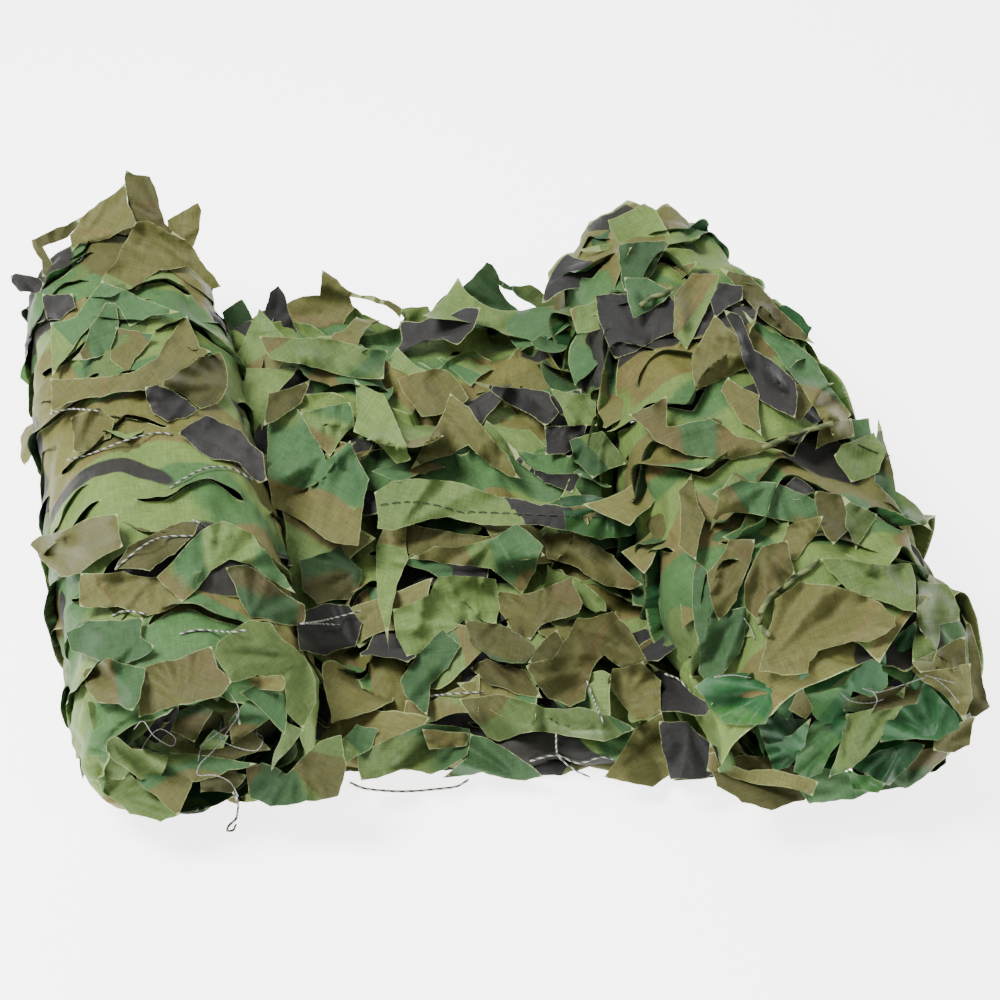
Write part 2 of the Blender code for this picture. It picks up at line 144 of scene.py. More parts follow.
# %% [markdown]
# ## The cloth's finish
# The print is a woodland pattern of soft-edged blots. It is drawn in the flat cloth's own
# coordinates, in metres, which the cloth carries in its UV map. So it breaks off where a
# leaf folds over another, as a real print does. Three effects are shared by all the
# cloth: the print, the plain weave and the pale, slightly melted cut edge. The last group
# also fades the print and paints shade on the single leaves, each darker by a random share.
# Each one is a node group with named sockets.


# %% A helper to build node groups
class Graph:
    """Short hand for adding and linking the nodes of one tree."""

    def __init__(self, tree):
        self.tree = tree

    def add(self, kind, **values):
        made = self.tree.nodes.new(kind)
        for key, value in values.items():
            setattr(made, key, value)
        return made

    def feed(self, socket, value):
        """Links a socket to another one, or sets its value."""
        if isinstance(value, bpy.types.NodeSocket):
            self.tree.links.new(value, socket)
        else:
            socket.default_value = value

    def math(self, operation, *values):
        made = self.add("ShaderNodeMath", operation=operation)
        for socket, value in zip(made.inputs, values):
            self.feed(socket, value)
        return made.outputs[0]

    def plus(self, first, second):
        return self.math("ADD", first, second)

    def minus(self, first, second):
        return self.math("SUBTRACT", first, second)

    def times(self, first, second):
        return self.math("MULTIPLY", first, second)

    def vector(self, operation, first, second):
        """Two vectors multiplied, or one scaled by a number."""
        made = self.add("ShaderNodeVectorMath", operation=operation)
        self.feed(made.inputs[0], first)
        self.feed(made.inputs["Scale" if operation == "SCALE" else 1], second)
        return made.outputs[0]

    def split(self, vector):
        made = self.add("ShaderNodeSeparateXYZ")
        self.feed(made.inputs[0], vector)
        return made.outputs

    def step(self, value, low, high, to_low=0.0, to_high=1.0):
        """A soft step of a value from low to high."""
        made = self.add("ShaderNodeMapRange", interpolation_type="SMOOTHSTEP")
        names = ("Value", "From Min", "From Max", "To Min", "To Max")
        for name, given_value in zip(names, (value, low, high, to_low, to_high)):
            self.feed(made.inputs[name], given_value)
        return made.outputs["Result"]

    def noise(self, at, scale, detail=1.0, offset=(0, 0, 0), stretch=(1, 1, 1), distortion=0.0):
        place = self.add("ShaderNodeMapping")
        self.feed(place.inputs["Location"], offset)
        self.feed(place.inputs["Scale"], stretch)
        self.feed(place.inputs["Vector"], at)
        made = self.add("ShaderNodeTexNoise")
        self.feed(made.inputs["Scale"], scale)
        self.feed(made.inputs["Detail"], detail)
        self.feed(made.inputs["Distortion"], distortion)
        self.feed(made.inputs["Vector"], place.outputs[0])
        return made.outputs["Fac"]

    def mix(self, factor, first, second):
        made = self.add("ShaderNodeMix", data_type="RGBA")
        for socket, value in ((0, factor), (6, first), (7, second)):
            self.feed(made.inputs[socket], value)
        return made.outputs[2]


def new_group(name, inputs, outputs):
    """A node group with named sockets: (name, kind, default) in, (name, kind) out."""
    tree = bpy.data.node_groups.new(name, "ShaderNodeTree")
    for label, kind, default in inputs:
        socket = tree.interface.new_socket(name=label, in_out="INPUT", socket_type=kind)
        if default is not None:
            socket.default_value = default
    for label, kind in outputs:
        tree.interface.new_socket(name=label, in_out="OUTPUT", socket_type=kind)
    graph = Graph(tree)
    return graph, graph.add("NodeGroupInput").outputs, graph.add("NodeGroupOutput").inputs


COLOUR, NUMBER, VECTOR = "NodeSocketColor", "NodeSocketFloat", "NodeSocketVector"

# %% The woodland print
DYES = {
    "Leaf Green": (0.106, 0.164, 0.048),
    "Pine Green": (0.047, 0.108, 0.040),
    "Bark Brown": (0.098, 0.099, 0.031),
    "Night Grey": (0.0205, 0.0200, 0.0195),
}
RUST_BROWN = (0.120, 0.082, 0.036)
PRINT_STRETCH = (0.75, 1.25, 1.0)

graph, given, out = new_group(
    "woodland print",
    [
        ("Cloth", VECTOR, None),
        *((name, COLOUR, (*dye, 1)) for name, dye in DYES.items()),
        ("Rust", NUMBER, 0.0),
    ],
    [("Color", COLOUR)],
)
pine_noise = graph.noise(given["Cloth"], 10, 0.8, (3.1, 0.4, 0), PRINT_STRETCH, 0.25)
bark_noise = graph.noise(given["Cloth"], 9, 0.8, (7.7, 5.2, 0), PRINT_STRETCH, 0.3)
night_noise = graph.noise(given["Cloth"], 9, 0.8, (1.3, 9.6, 0), PRINT_STRETCH, 0.4)
bark = graph.step(bark_noise, 0.525, 0.550)
fringe = graph.times(bark, graph.step(bark_noise, 0.550, 0.590, 1.0, 0.0))
blots = graph.mix(graph.step(pine_noise, 0.495, 0.530), given["Leaf Green"], given["Pine Green"])
blots = graph.mix(bark, blots, given["Bark Brown"])
blots = graph.mix(graph.times(fringe, given["Rust"]), blots, (*RUST_BROWN, 1))
blots = graph.mix(graph.step(night_noise, 0.592, 0.602), blots, given["Night Grey"])
graph.feed(out["Color"], blots)

# %% The plain weave, as height
graph, given, out = new_group(
    "plain weave",
    [("Cloth", VECTOR, None), ("Pitch", NUMBER, 0.0011)],
    [("Height", NUMBER)],
)
cloth_x, cloth_y, _ = graph.split(given["Cloth"])
turns = graph.math("DIVIDE", 2 * math.pi, given["Pitch"])
warp_threads = graph.math("SINE", graph.times(cloth_x, turns))
weft_threads = graph.math("SINE", graph.times(cloth_y, turns))
slubs = graph.noise(given["Cloth"], 900, 2.0, (0, 0, 0), (0.2, 1.0, 1.0))
graph.feed(out["Height"], graph.plus(graph.times(warp_threads, weft_threads), graph.times(slubs, 0.8)))

# %% The pale cut edge, the fading of the print and painted shade on single leaves
FIRST_SEED = 0.1
LEAF_APART = 0.37
SHELF = 50  # single leaves lie this far out on the print, in metres, one every LEAF_APART

graph, given, out = new_group(
    "cut edge and fading",
    [
        ("Color", COLOUR, (1, 1, 1, 1)),
        ("Cloth", VECTOR, None),
        ("Edge", NUMBER, 0.0),
        ("Edge Color", COLOUR, (0.34, 0.39, 0.18, 1)),
        ("Fading", NUMBER, 0.5),
    ],
    [("Color", COLOUR), ("Rough Patch", NUMBER)],
)
cloth_at = given["Cloth"]
sun = graph.step(graph.noise(cloth_at, 14, 2.0, (2.0, 2.0, 0)), 0.35, 0.68)
bleached = graph.vector("MULTIPLY", given["Color"], (1.38, 1.32, 1.22))
faded = graph.mix(graph.times(sun, given["Fading"]), given["Color"], bleached)

mottle = graph.noise(cloth_at, 160, 3.0)
warp_slubs = graph.noise(cloth_at, 800, 1.0, (0, 0, 0), (1.0, 0.11, 1.0))
weft_slubs = graph.noise(cloth_at, 800, 1.0, (4, 0, 0), (0.11, 1.0, 1.0))
threads = graph.times(graph.plus(warp_slubs, weft_slubs), 0.62)
grain = graph.plus(graph.plus(graph.times(mottle, 0.30), threads), 0.20)

# painted shade: each single leaf is darker by a random share of its own, from nothing to a half, standing in
# for the shade that leaves take from how they face the light and from lying under each other
cloth_x = graph.split(cloth_at)[0]
shelf_start = SHELF + FIRST_SEED
leaf_number = graph.math("ROUND", graph.math("DIVIDE", graph.minus(cloth_x, shelf_start), LEAF_APART))
leaf_shade_chance = graph.add("ShaderNodeTexWhiteNoise", noise_dimensions="1D")
graph.feed(leaf_shade_chance.inputs["W"], leaf_number)
is_single = graph.math("GREATER_THAN", cloth_x, shelf_start - 1)
painted_leaf_shade = graph.times(graph.minus(0.52, graph.times(leaf_shade_chance.outputs["Value"], 0.56)), is_single)
shaded = graph.vector("SCALE", faded, graph.times(grain, graph.minus(1.0, painted_leaf_shade)))

fray = graph.times(graph.minus(graph.noise(cloth_at, 700, 2.0), 0.5), 0.3)
rim = graph.step(graph.plus(given["Edge"], fray), 0.82, 0.98)
graph.feed(out["Color"], graph.mix(graph.times(rim, 0.75), shaded, given["Edge Color"]))
graph.feed(out["Rough Patch"], mottle)
print("node groups", [group.name for group in bpy.data.node_groups])

# %% [markdown]
# The cloth has a right side and a reverse. The right side is matt and a little faded.
# The reverse is coated, so it is shinier and its greens are deeper. Backfacing picks one
# or the other inside each material.


# %% One cloth material, with the reverse deeper and shinier
EMERALD_DYE = (0.010, 0.150, 0.055)
EDGE_DYE = (0.31, 0.37, 0.16)
PRINTED_ORDER = (0, 1, 2, 3)


def cloth_material(
    name, tint=(1, 1, 1), depth=1.0, fading=0.5, emerald=0.25, roughness=0.62,
    order=PRINTED_ORDER, rim=1.0, gloss=0.18, creased=0.28,
):
    """One cloth, from the shared node groups.

    tint multiplies the print, depth darkens it as painted shade for cloth that lies under
    other cloth, emerald is how far the reverse turns to a deep green, and order says which
    of the four dyes lies where, so that a leaf can be mostly brown. rim is how pale the cut
    edge is; a low rim keeps the edge dark in that painted shade.
    """
    dyes = [tuple(DYES.values())[i] for i in order]
    material = bpy.data.materials.new(name)
    material.use_nodes = True
    material.use_backface_culling = False
    graph = Graph(material.node_tree)
    shader = material.node_tree.nodes["Principled BSDF"].inputs
    at = graph.add("ShaderNodeUVMap", uv_map="cloth").outputs[0]
    edge = graph.add("ShaderNodeAttribute", attribute_name="cut_edge").outputs["Fac"]
    sides = graph.add("ShaderNodeNewGeometry").outputs["Backfacing"]

    def group(name, inputs):
        made = graph.add("ShaderNodeGroup", node_tree=bpy.data.node_groups[name])
        for label, value in inputs.items():
            graph.feed(made.inputs[label], value)
        return made.outputs

    def print_colours(colours):
        rusty = order[2] == 2 and depth == 1.0 and tint[0] >= 1
        inks = [(*[c * t * depth for c, t in zip(colour, tint)], 1) for colour in colours]
        given = {"Cloth": at, "Rust": 0.45 if rusty else 0.0, **dict(zip(DYES, inks))}
        return group("woodland print", given)["Color"]

    right_side = print_colours(dyes)
    deep = [tuple(c * (1 - emerald) + e * emerald for c, e in zip(dye, EMERALD_DYE)) for dye in dyes]
    reverse = print_colours([tuple(c * 0.72 for c in colour) for colour in deep])
    printed = graph.mix(sides, right_side, reverse)
    edge_colour = (*[c * rim for c in EDGE_DYE], 1)
    given = {"Color": printed, "Cloth": at, "Edge": edge, "Fading": fading, "Edge Color": edge_colour}
    worn = group("cut edge and fading", given)
    graph.feed(shader["Base Color"], worn["Color"])

    woven = group("plain weave", {"Cloth": at})
    large, small = (graph.noise(at, size, 1.0, (5, size, 0), (1, 1, 1), 0.6) for size in (26, 52))
    large, small = (graph.math("ABSOLUTE", graph.minus(ridge, 0.5)) for ridge in (large, small))
    creases = graph.plus(graph.times(large, 3.0), graph.times(small, 1.2))
    bump = graph.add("ShaderNodeBump")
    graph.feed(bump.inputs["Strength"], creased)
    graph.feed(bump.inputs["Distance"], 0.0026)
    graph.feed(bump.inputs["Height"], graph.plus(graph.times(woven["Height"], 0.05), creases))
    graph.feed(shader["Normal"], bump.outputs[0])
    matt = graph.plus(graph.times(worn["Rough Patch"], 0.16), roughness - 0.08)
    graph.feed(shader["Roughness"], graph.minus(matt, graph.times(sides, 0.2)))
    shader["Sheen Weight"].default_value = 0.02
    shader["Sheen Roughness"].default_value = 0.5
    shader["Specular IOR Level"].default_value = gloss
    return material


OUTER = cloth_material("net_cloth", tint=(1, 1, 0.86), fading=0.55)
# The next two cloths are the print made darker, with a dimmer edge and less fading, as painted shade: the
# first for turns, plies, mouths and leaves that lie under other cloth, the second, darker still, for the
# wound cores.
INNER_IN_PAINTED_SHADE = cloth_material("net_cloth_inner", depth=0.66, fading=0.2, emerald=0.35, rim=0.45)
CORE_IN_PAINTED_SHADE = cloth_material("net_cloth_deep", depth=0.40, fading=0.0, emerald=0.3, rim=0.3)
EMERALD = cloth_material(
    "net_cloth_reverse", tint=(0.34, 0.72, 0.52), fading=0.05, emerald=0.5, roughness=0.50,
    order=(1, 1, 0, 1), rim=0.45, gloss=0.25, creased=0.1,
)
FRESH = cloth_material("net_cloth_pale", tint=(1.1, 1.09, 1.08), fading=0.4, order=(0, 0, 0, 1))
BARK = cloth_material("net_cloth_brown", order=(2, 2, 2, 2))
NIGHT = cloth_material("net_cloth_dark", tint=(1.1, 1.1, 1.1), order=(3, 3, 3, 3))
FOREST = cloth_material("net_cloth_green", fading=0.35, order=(1, 1, 2, 0))
MOTTLED = cloth_material("net_cloth_leaf", fading=0.5, order=(0, 1, 2, 2))
# dim is the cloth darkened as painted shade.
LEAF_CLOTHS = {
    "plain": OUTER, "pale": FRESH, "brown": BARK, "dark": NIGHT,
    "green": EMERALD, "dim": INNER_IN_PAINTED_SHADE, "pine": FOREST, "mixed": MOTTLED,
}
SLOT_OF = {name: slot for slot, name in enumerate(LEAF_CLOTHS)}
print("cloths", sorted(LEAF_CLOTHS))

# %% [markdown]
# ## Twine
# The net hangs on a thin twisted twine of a white and a black ply. Two ends of it lie free:
# the tie that hangs from the left roll's mouth down to the floor and ends in a small eye,
# and a run that has come out at the front edge. Each follows the route of its solid.

# %% A tube along a run of points
def finished_mesh(name, shape, outwards=False):
    """Turns a bmesh into a mesh. outwards makes the faces of a closed form look out."""
    if outwards:
        bmesh.ops.recalc_face_normals(shape, faces=shape.faces)
    mesh = bpy.data.meshes.new(name)
    shape.to_mesh(mesh)
    shape.free()
    return mesh


def tube(name, runs, radius, material, sides=5, lay=0.006):
    """Twine as a tube along each run. u of its UV runs along it, so that it can look twisted."""
    shape = bmesh.new()
    marks = shape.loops.layers.uv.new("twist")
    for run in runs:
        rings, total = [], 0.0
        for k, point in enumerate(run):
            a, b = run[max(0, k - 1)], run[min(len(run) - 1, k + 1)]
            ahead = (b - a).normalized()
            side = ahead.cross(Vector((0.13, 0.21, 0.97))).normalized()
            upward = side.cross(ahead)
            total += (point - run[k - 1]).length if k else 0.0
            turns = [2 * math.pi * i / sides for i in range(sides)]
            spokes = [side * math.cos(turn) + upward * math.sin(turn) for turn in turns]
            rings.append(([shape.verts.new(point + spoke * radius) for spoke in spokes], total))
        for (a, at_a), (b, at_b) in zip(rings, rings[1:]):
            for i in range(sides):
                j = (i + 1) % sides
                face = shape.faces.new((a[i], a[j], b[j], b[i]))
                face.smooth = True
                for loop, uv in zip(face.loops, ((at_a, i), (at_a, i + 1), (at_b, i + 1), (at_b, i))):
                    loop[marks].uv = (uv[0] / lay, uv[1] / sides)
        for ring, _ in (rings[0], rings[-1]):
            shape.faces.new(ring)
    return new_object(name, finished_mesh(name, shape, outwards=True), material)


def smooth_route(points, steps=3):
    """Points on a smooth curve through the route's own points (Catmull-Rom)."""
    route = [Vector(p) for p in points]
    padded = [route[0] * 2 - route[1], *route, route[-1] * 2 - route[-2]]
    found = []
    for a, b, c, d in zip(padded, padded[1:], padded[2:], padded[3:]):
        for i in range(steps):
            t = i / steps
            bend = (2 * a - 5 * b + 4 * c - d) * t**2 + (3 * b - a - 3 * c + d) * t**3
            found.append((2 * b + (c - a) * t + bend) / 2)
    found.append(route[-1])
    return found


# %% Twine: two plies, one white and one black, twisted
twist = bpy.data.materials.new("twisted_twine")
twist.use_nodes = True
graph = Graph(twist.node_tree)
along, around, _ = graph.split(graph.add("ShaderNodeUVMap", uv_map="twist").outputs[0])
strand = graph.math("SINE", graph.times(graph.plus(along, around), 2 * math.pi))
plies = graph.mix(graph.step(strand, -0.25, 0.15), (0.045, 0.045, 0.04, 1), (0.34, 0.35, 0.30, 1))
finish = twist.node_tree.nodes["Principled BSDF"].inputs
graph.feed(finish["Base Color"], plies)
finish["Roughness"].default_value = 0.7


def twisted(name, dark, light):
    """The twine's material again, with plies of two other colours."""
    made = twist.copy()
    made.name = name
    for node in made.node_tree.nodes:
        if node.type == "MIX":
            node.inputs[6].default_value = (*dark, 1)
            node.inputs[7].default_value = (*light, 1)
    return made


strip = twisted("twisted_strip", (0.050, 0.066, 0.020), (0.120, 0.150, 0.045))
dark_thread = twisted("dark_thread", (0.022, 0.026, 0.014), (0.038, 0.044, 0.026))
pale_thread = twisted("pale_thread", (0.145, 0.150, 0.130), (0.255, 0.260, 0.230))

# %% The two free ends
CAD_SHIFT = Vector((0.0045, 0.0105, 0))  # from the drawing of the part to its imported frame
TWINE = 0.0016
TIE_LOOP_ROUTE = (
    (-0.1222, -0.2555, 0.0860), (-0.1208, -0.2580, 0.0740), (-0.1217, -0.2595, 0.0640),
    (-0.1278, -0.2610, 0.0555), (-0.1360, -0.2635, 0.0450), (-0.1410, -0.2655, 0.0375),
    (-0.1357, -0.2660, 0.0330), (-0.1303, -0.2655, 0.0260), (-0.1276, -0.2655, 0.0150),
    (-0.1285, -0.2660, 0.0050), (-0.1300, -0.2690, 0.0010), (-0.1335, -0.2735, 0.0010),
    (-0.1340, -0.2775, 0.0010), (-0.1305, -0.2770, 0.0010), (-0.1292, -0.2728, 0.0010),
)
EDGE_TWINE_ROUTE = (
    (-0.0600, -0.2425, 0.0050), (-0.0520, -0.2445, 0.0020), (-0.0420, -0.2455, 0.0010),
    (-0.0300, -0.2465, 0.0010), (-0.0160, -0.2460, 0.0010), (-0.0040, -0.2445, 0.0010),
    (0.0080, -0.2440, 0.0030), (0.0150, -0.2435, 0.0090),
)


def free_twine(name, route):
    run = smooth_route(route)
    for point in run:
        point += CAD_SHIFT
        point.z = max(point.z, 0.0010)
    made = tube(name + "_twine", [run], TWINE / 2, twist, sides=10)
    length = sum((b - a).length for a, b in zip(run, run[1:]))
    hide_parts(name)
    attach(made, "root")
    tuple(run[0])
    [tuple(p) for p in run]
    print(made.name, "length", round(length, 3), "m")


free_twine("tie_loop", TIE_LOOP_ROUTE)
free_twine("edge_twine", EDGE_TWINE_ROUTE)

# %% [markdown]
# ## The wound form
# The solids were made from a short formula for each roll: an axis on the floor, a width
# that changes a little from front to back, and a section between an ellipse and a box,
# cut flat by the floor. The same formula is written here, so each cloth lies on the form
# that the solids have.


# %% The two rolls and their sections
@dataclass(frozen=True)
class Roll:
    """A wound end of the net, in metres and degrees."""

    name: str
    front: tuple
    heading: float
    front_half_width: float
    back_half_width: float
    inner: int  # +1 where the open stretch lies on its +X side
    seed: int


ROLL_LENGTH = 0.50
FLATTENING = 0.82
ROUNDNESS = 2.3
SWELL = 0.06
SINK = 0.004
LUMP = 0.0045
LUMP_SIZE = 0.085
LOWEST = 0.0008  # no laid point is nearer the floor
LEFT = Roll("left_roll", (-0.1415, -0.2460), 14.6, 0.0690, 0.0650, +1, 3)
RIGHT = Roll("right_roll", (0.2575, -0.2305), 12.0, 0.0790, 0.0630, -1, 8)


def smooth_step(low, high, value):
    share = min(1.0, max(0.0, (value - low) / (high - low)))
    return share * share * (3 - 2 * share)


def chance(*key):
    """A number from 0 to 1 that is always the same for the same key."""
    return random.Random(repr(key)).random()


def between(span, *key):
    """A number between the two ends of a span that is always the same for the same key."""
    return span[0] + (span[1] - span[0]) * chance(*key)


def bump_noise(x, y, z=0.0):
    return noise.noise(Vector((x, y, z)))


def drift(s, t, seed):
    """Slow unevenness over a flat cloth, from -1 to 1."""
    return bump_noise(s / 0.05, t / 0.05, seed)


def roll_section(roll, along):
    """(centre, direction across, direction of the axis, half width, half height)."""
    share = min(1.0, max(0.0, along / ROLL_LENGTH))
    half_width = roll.front_half_width + (roll.back_half_width - roll.front_half_width) * share
    half_width *= 1 + SWELL * math.sin(math.pi * share)
    half_height = half_width * FLATTENING
    turn = math.radians(roll.heading)
    across = Vector((math.cos(turn), math.sin(turn), 0))
    axis = Vector((-math.sin(turn), math.cos(turn), 0))
    start = Vector((*roll.front, half_height - SINK))
    return start + axis * along, across, axis, half_width, half_height


def roll_point(roll, angle, along, height=0.0, share=1.0, lowest=LOWEST):
    """A point at an angle round the roll (radians, 0 is +X) and `height` over its form."""
    centre, across, _, half_width, half_height = roll_section(roll, along)
    flat, tall = abs(math.cos(angle)) / half_width, abs(math.sin(angle)) / half_height
    radius = (flat**ROUNDNESS + tall**ROUNDNESS) ** (-1 / ROUNDNESS)
    outwards = across * math.cos(angle) + Vector((0, 0, math.sin(angle)))
    point = centre + outwards * (radius * share + height)
    point += outwards * LUMP * share * bump_noise(*(point + Vector((0, 0, roll.seed))) / LUMP_SIZE)
    point.z = max(point.z, lowest)
    return point


def girth(roll, along=ROLL_LENGTH / 2):
    ring = [roll_point(roll, math.radians(a), along) for a in range(0, 362, 2)]
    return sum((b - a).length for a, b in zip(ring, ring[1:]))


for roll in (LEFT, RIGHT):
    print(roll.name, "girth", round(girth(roll), 3), "m")

# %% [markdown]
# ## Cutting the flat cloth
# The cuts are what makes this cloth. Each row has one cut about every 100 mm, and the next
# row is shifted by half a cell. A cut runs in an S with two pointed tips, which become the
# leaves. Here the flat cloth is drawn as outlines first. Then it is filled with small
# triangles that follow every cut, and the edges of each cut are parted.
#
# The flat shape is kept in a shape key. The simulation takes its lengths from there, while
# the first shape says where the cloth lies. Where the cloth lies in less room than it is
# long, it has to buckle, and the lips open, as they do on the real net.

# %% How a cloth is cut
@dataclass(frozen=True)
class Pattern:
    """Sizes of the cuts of one cloth, in metres."""

    cell: float = 0.094
    row: float = 0.052
    cut: float = 0.074
    tooth: float = 0.013
    stray: float = 0.004
    gap: float = 0.0056  # between the points of the mesh
    ragged: tuple = (0.0, 0.0)  # depth of the teeth on the near and far edge


TOOTH_PITCH = 0.055  # between the teeth of a ragged edge, in metres


def tooth(x, width=0.62, bend=1.25):
    return max(0.0, 1 - abs(x) / width) ** bend


def cut_line(pattern, rng):
    """One cut about its own middle: an S with two pointed leaf tips."""
    side = rng.choice((1, 1, -1))
    tips = [pattern.tooth * rng.uniform(0.5, 1.4) for _ in range(2)]
    places = rng.uniform(-0.55, -0.3), rng.uniform(0.3, 0.55)
    half = pattern.cut / 2 * rng.uniform(0.86, 1.14)
    count = round(2 * half / 0.0046)
    steps = [-1 + 2 * i / count for i in range(count + 1)]
    found = []
    for u in steps:
        wave = tips[0] * tooth(u - places[0]) - tips[1] * tooth(u - places[1])
        found.append((half * u, side * wave, math.cos(u * math.pi / 2)))
    return found


def ragged_edge(start, end, depth, rng, gap):
    """Points from start to end, with teeth like half-cut leaves."""
    a, b = Vector(start), Vector(end)
    count = max(2, round((b - a).length / gap))
    across = Vector((-(b - a).y, (b - a).x)).normalized()
    found, phase = [], rng.random()
    for i in range(count):
        share = i / count
        run = (b - a).length * share / TOOTH_PITCH + phase
        deep = depth * tooth((run % 1) - 0.5, 0.5, 0.8) * (0.4 + 0.6 * rng.random() if i % 9 == 0 else 0.8)
        fade = min(1.0, 8 * share, 8 * (1 - share))
        found.append(a + (b - a) * share + across * deep * fade)
    return found


def scatter(rng, reach):
    return Vector((rng.uniform(-reach, reach), rng.uniform(-reach, reach)))


def plane_tree(points):
    """A search tree of points in a plane."""
    tree = kdtree.KDTree(len(points))
    for i, p in enumerate(points):
        tree.insert((p[0], p[1], 0), i)
    tree.balance()
    return tree


# %% A flat cut cloth, laid in place
@dataclass
class CutCloth:
    """A cloth with its cuts: the object, its point at each stitch, and its flat size."""

    piece: object
    stitched: dict
    flat: tuple


def cut_cloth(name, width, length, pattern, place, seed, origin):
    """Makes the cloth. place(s, t, side, lobe, key) gives where a point lies.

    s runs along a row and t across the rows. side is -1 on a cut's near lip and +1 on its
    far lip. lobe is 1 in the middle of the cut and 0 at its ends.
    """
    rng = random.Random(f"{name} {seed}")
    points, lines, about = [], [], {}

    def chain(run, closed=False):
        first = len(points)
        points.extend(Vector(p) for p in run)
        last = len(points) - 1
        lines.extend((i, i + 1) for i in range(first, last))
        if closed:
            lines.append((last, first))
        return first

    near, far = pattern.ragged
    ends, rim = ((0, 0), (width, 0), (width, length), (0, length), (0, 0)), []
    for start, end, depth in zip(ends, ends[1:], (-near, 0, -far, 0)):
        rim += ragged_edge(start, end, depth, rng, pattern.gap)
    chain(rim, closed=True)
    rim_lines = len(lines)

    bridges, cuts = [], 0
    margin = pattern.gap * 1.4
    for row in range(1, round(length / pattern.row)):
        shift = 0.5 * (row % 2) + rng.uniform(-0.06, 0.06)
        for cell in range(-1, math.ceil(width / pattern.cell) + 1):
            middle = Vector(((cell + 0.5 + shift) * pattern.cell, row * pattern.row))
            middle += scatter(rng, 1) * pattern.stray
            shape = [(middle.x + x, middle.y + y, lobe) for x, y, lobe in cut_line(pattern, rng)]
            inside = [p for p in shape if margin < p[0] < width - margin and margin < p[1] < length - margin]
            bridge = middle + Vector((pattern.cell / 2, 0))
            if margin < bridge.x < width - margin:
                bridges.append(((row, cell), bridge))
            if len(inside) < 7:
                continue
            first = chain([p[:2] for p in inside])
            for i, (x, y, lobe) in enumerate(inside):
                a, b = inside[max(0, i - 1)], inside[min(len(inside) - 1, i + 1)]
                side_way = Vector((-(b[1] - a[1]), b[0] - a[0])).normalized()
                about[first + i] = (cuts, lobe, side_way)
            cuts += 1

    taken = plane_tree(points)
    step_y = pattern.gap * 0.866
    for j in range(1, int(length / step_y)):
        for i in range(int(width / pattern.gap) + 1):
            p = Vector(((i + 0.5 * (j % 2)) * pattern.gap, j * step_y))
            p += scatter(rng, 1) * pattern.gap * 0.14
            if 0 < p.x < width and 0 < p.y < length and taken.find((p.x, p.y, 0))[2] > pattern.gap * 0.62:
                points.append(p)

    spots, edges, faces, from_points, from_lines, _ = delaunay_2d_cdt(points, lines, [], 1, 1e-7)
    shape = bmesh.new()
    which = shape.verts.layers.int.new("which")
    made = []
    for p, sources in zip(spots, from_points):
        vert = shape.verts.new((p.x, p.y, 0))
        vert[which] = next((i for i in sources if i in about), -1)
        made.append(vert)
    for corners in faces:
        shape.faces.new([made[i] for i in corners])
    parted = [
        shape.edges.get((made[a], made[b]))
        for (a, b), sources in zip(edges, from_lines)
        if sources and min(sources) >= rim_lines
    ]
    bmesh.ops.split_edges(shape, edges=[edge for edge in parted if edge])
    bmesh.ops.delete(shape, geom=[v for v in shape.verts if not v.link_faces], context="VERTS")
    shape.verts.index_update()
    shape.normal_update()

    flat, lying = [], []
    for vert in shape.verts:
        s, t = vert.co.x, vert.co.y
        side, lobe, key = 0, 0.0, -1
        if vert[which] >= 0:
            key, lobe, side_way = about[vert[which]]
            middles = [face.calc_center_median() for face in vert.link_faces]
            middle = sum(middles, Vector()) / len(middles)
            side = 1 if (middle - vert.co).xy.dot(side_way) > 0 else -1
        flat.append((s, t, 0))
        lying.append(place(s, t, side, lobe, key))
    finder = plane_tree(flat)
    stitched = {where: finder.find((p.x, p.y, 0))[1] for where, p in bridges}

    mesh = finished_mesh(name, shape)
    for vert, at in zip(mesh.vertices, lying):
        vert.co = at
    print_at = mesh.uv_layers.new(name="cloth")
    for corner in mesh.loops:
        s, t, _ = flat[corner.vertex_index]
        print_at.data[corner.index].uv = (s + origin[0], t + origin[1])
    mark_edges(mesh)
    piece = new_object(name, mesh)
    piece.shape_key_add(name="lying")
    for spot, p in zip(piece.shape_key_add(name="flat").data, flat):
        spot.co = p
    print(name, len(mesh.vertices), "points", cuts, "cuts", len(stitched), "stitches")
    return CutCloth(piece, stitched, (width, length))


def mark_edges(mesh):
    """Writes 1 to every point on an edge of the cloth, for the pale rim, and 0 elsewhere."""
    uses = {}
    for face in mesh.polygons:
        for key in face.edge_keys:
            uses[key] = uses.get(key, 0) + 1
    rim = mesh.attributes.new("cut_edge", "FLOAT", "POINT")
    for (a, b), count in uses.items():
        if count == 1:
            rim.data[a].value = 1.0
            rim.data[b].value = 1.0


# %% [markdown]
# ## Letting the cloth find its shape
# The simulation needs four things: the points that the twine holds, the flat lengths, the
# form under the cloth and a little weight. A weak gravity keeps the lips standing, as the
# coated cloth is stiff. When it has settled, the shape is kept as a plain mesh and the
# simulation is removed, so nothing moves afterwards.


# %% Settle a cloth over its forms
ON_FLOOR = 0.0006  # no settled cloth lies lower


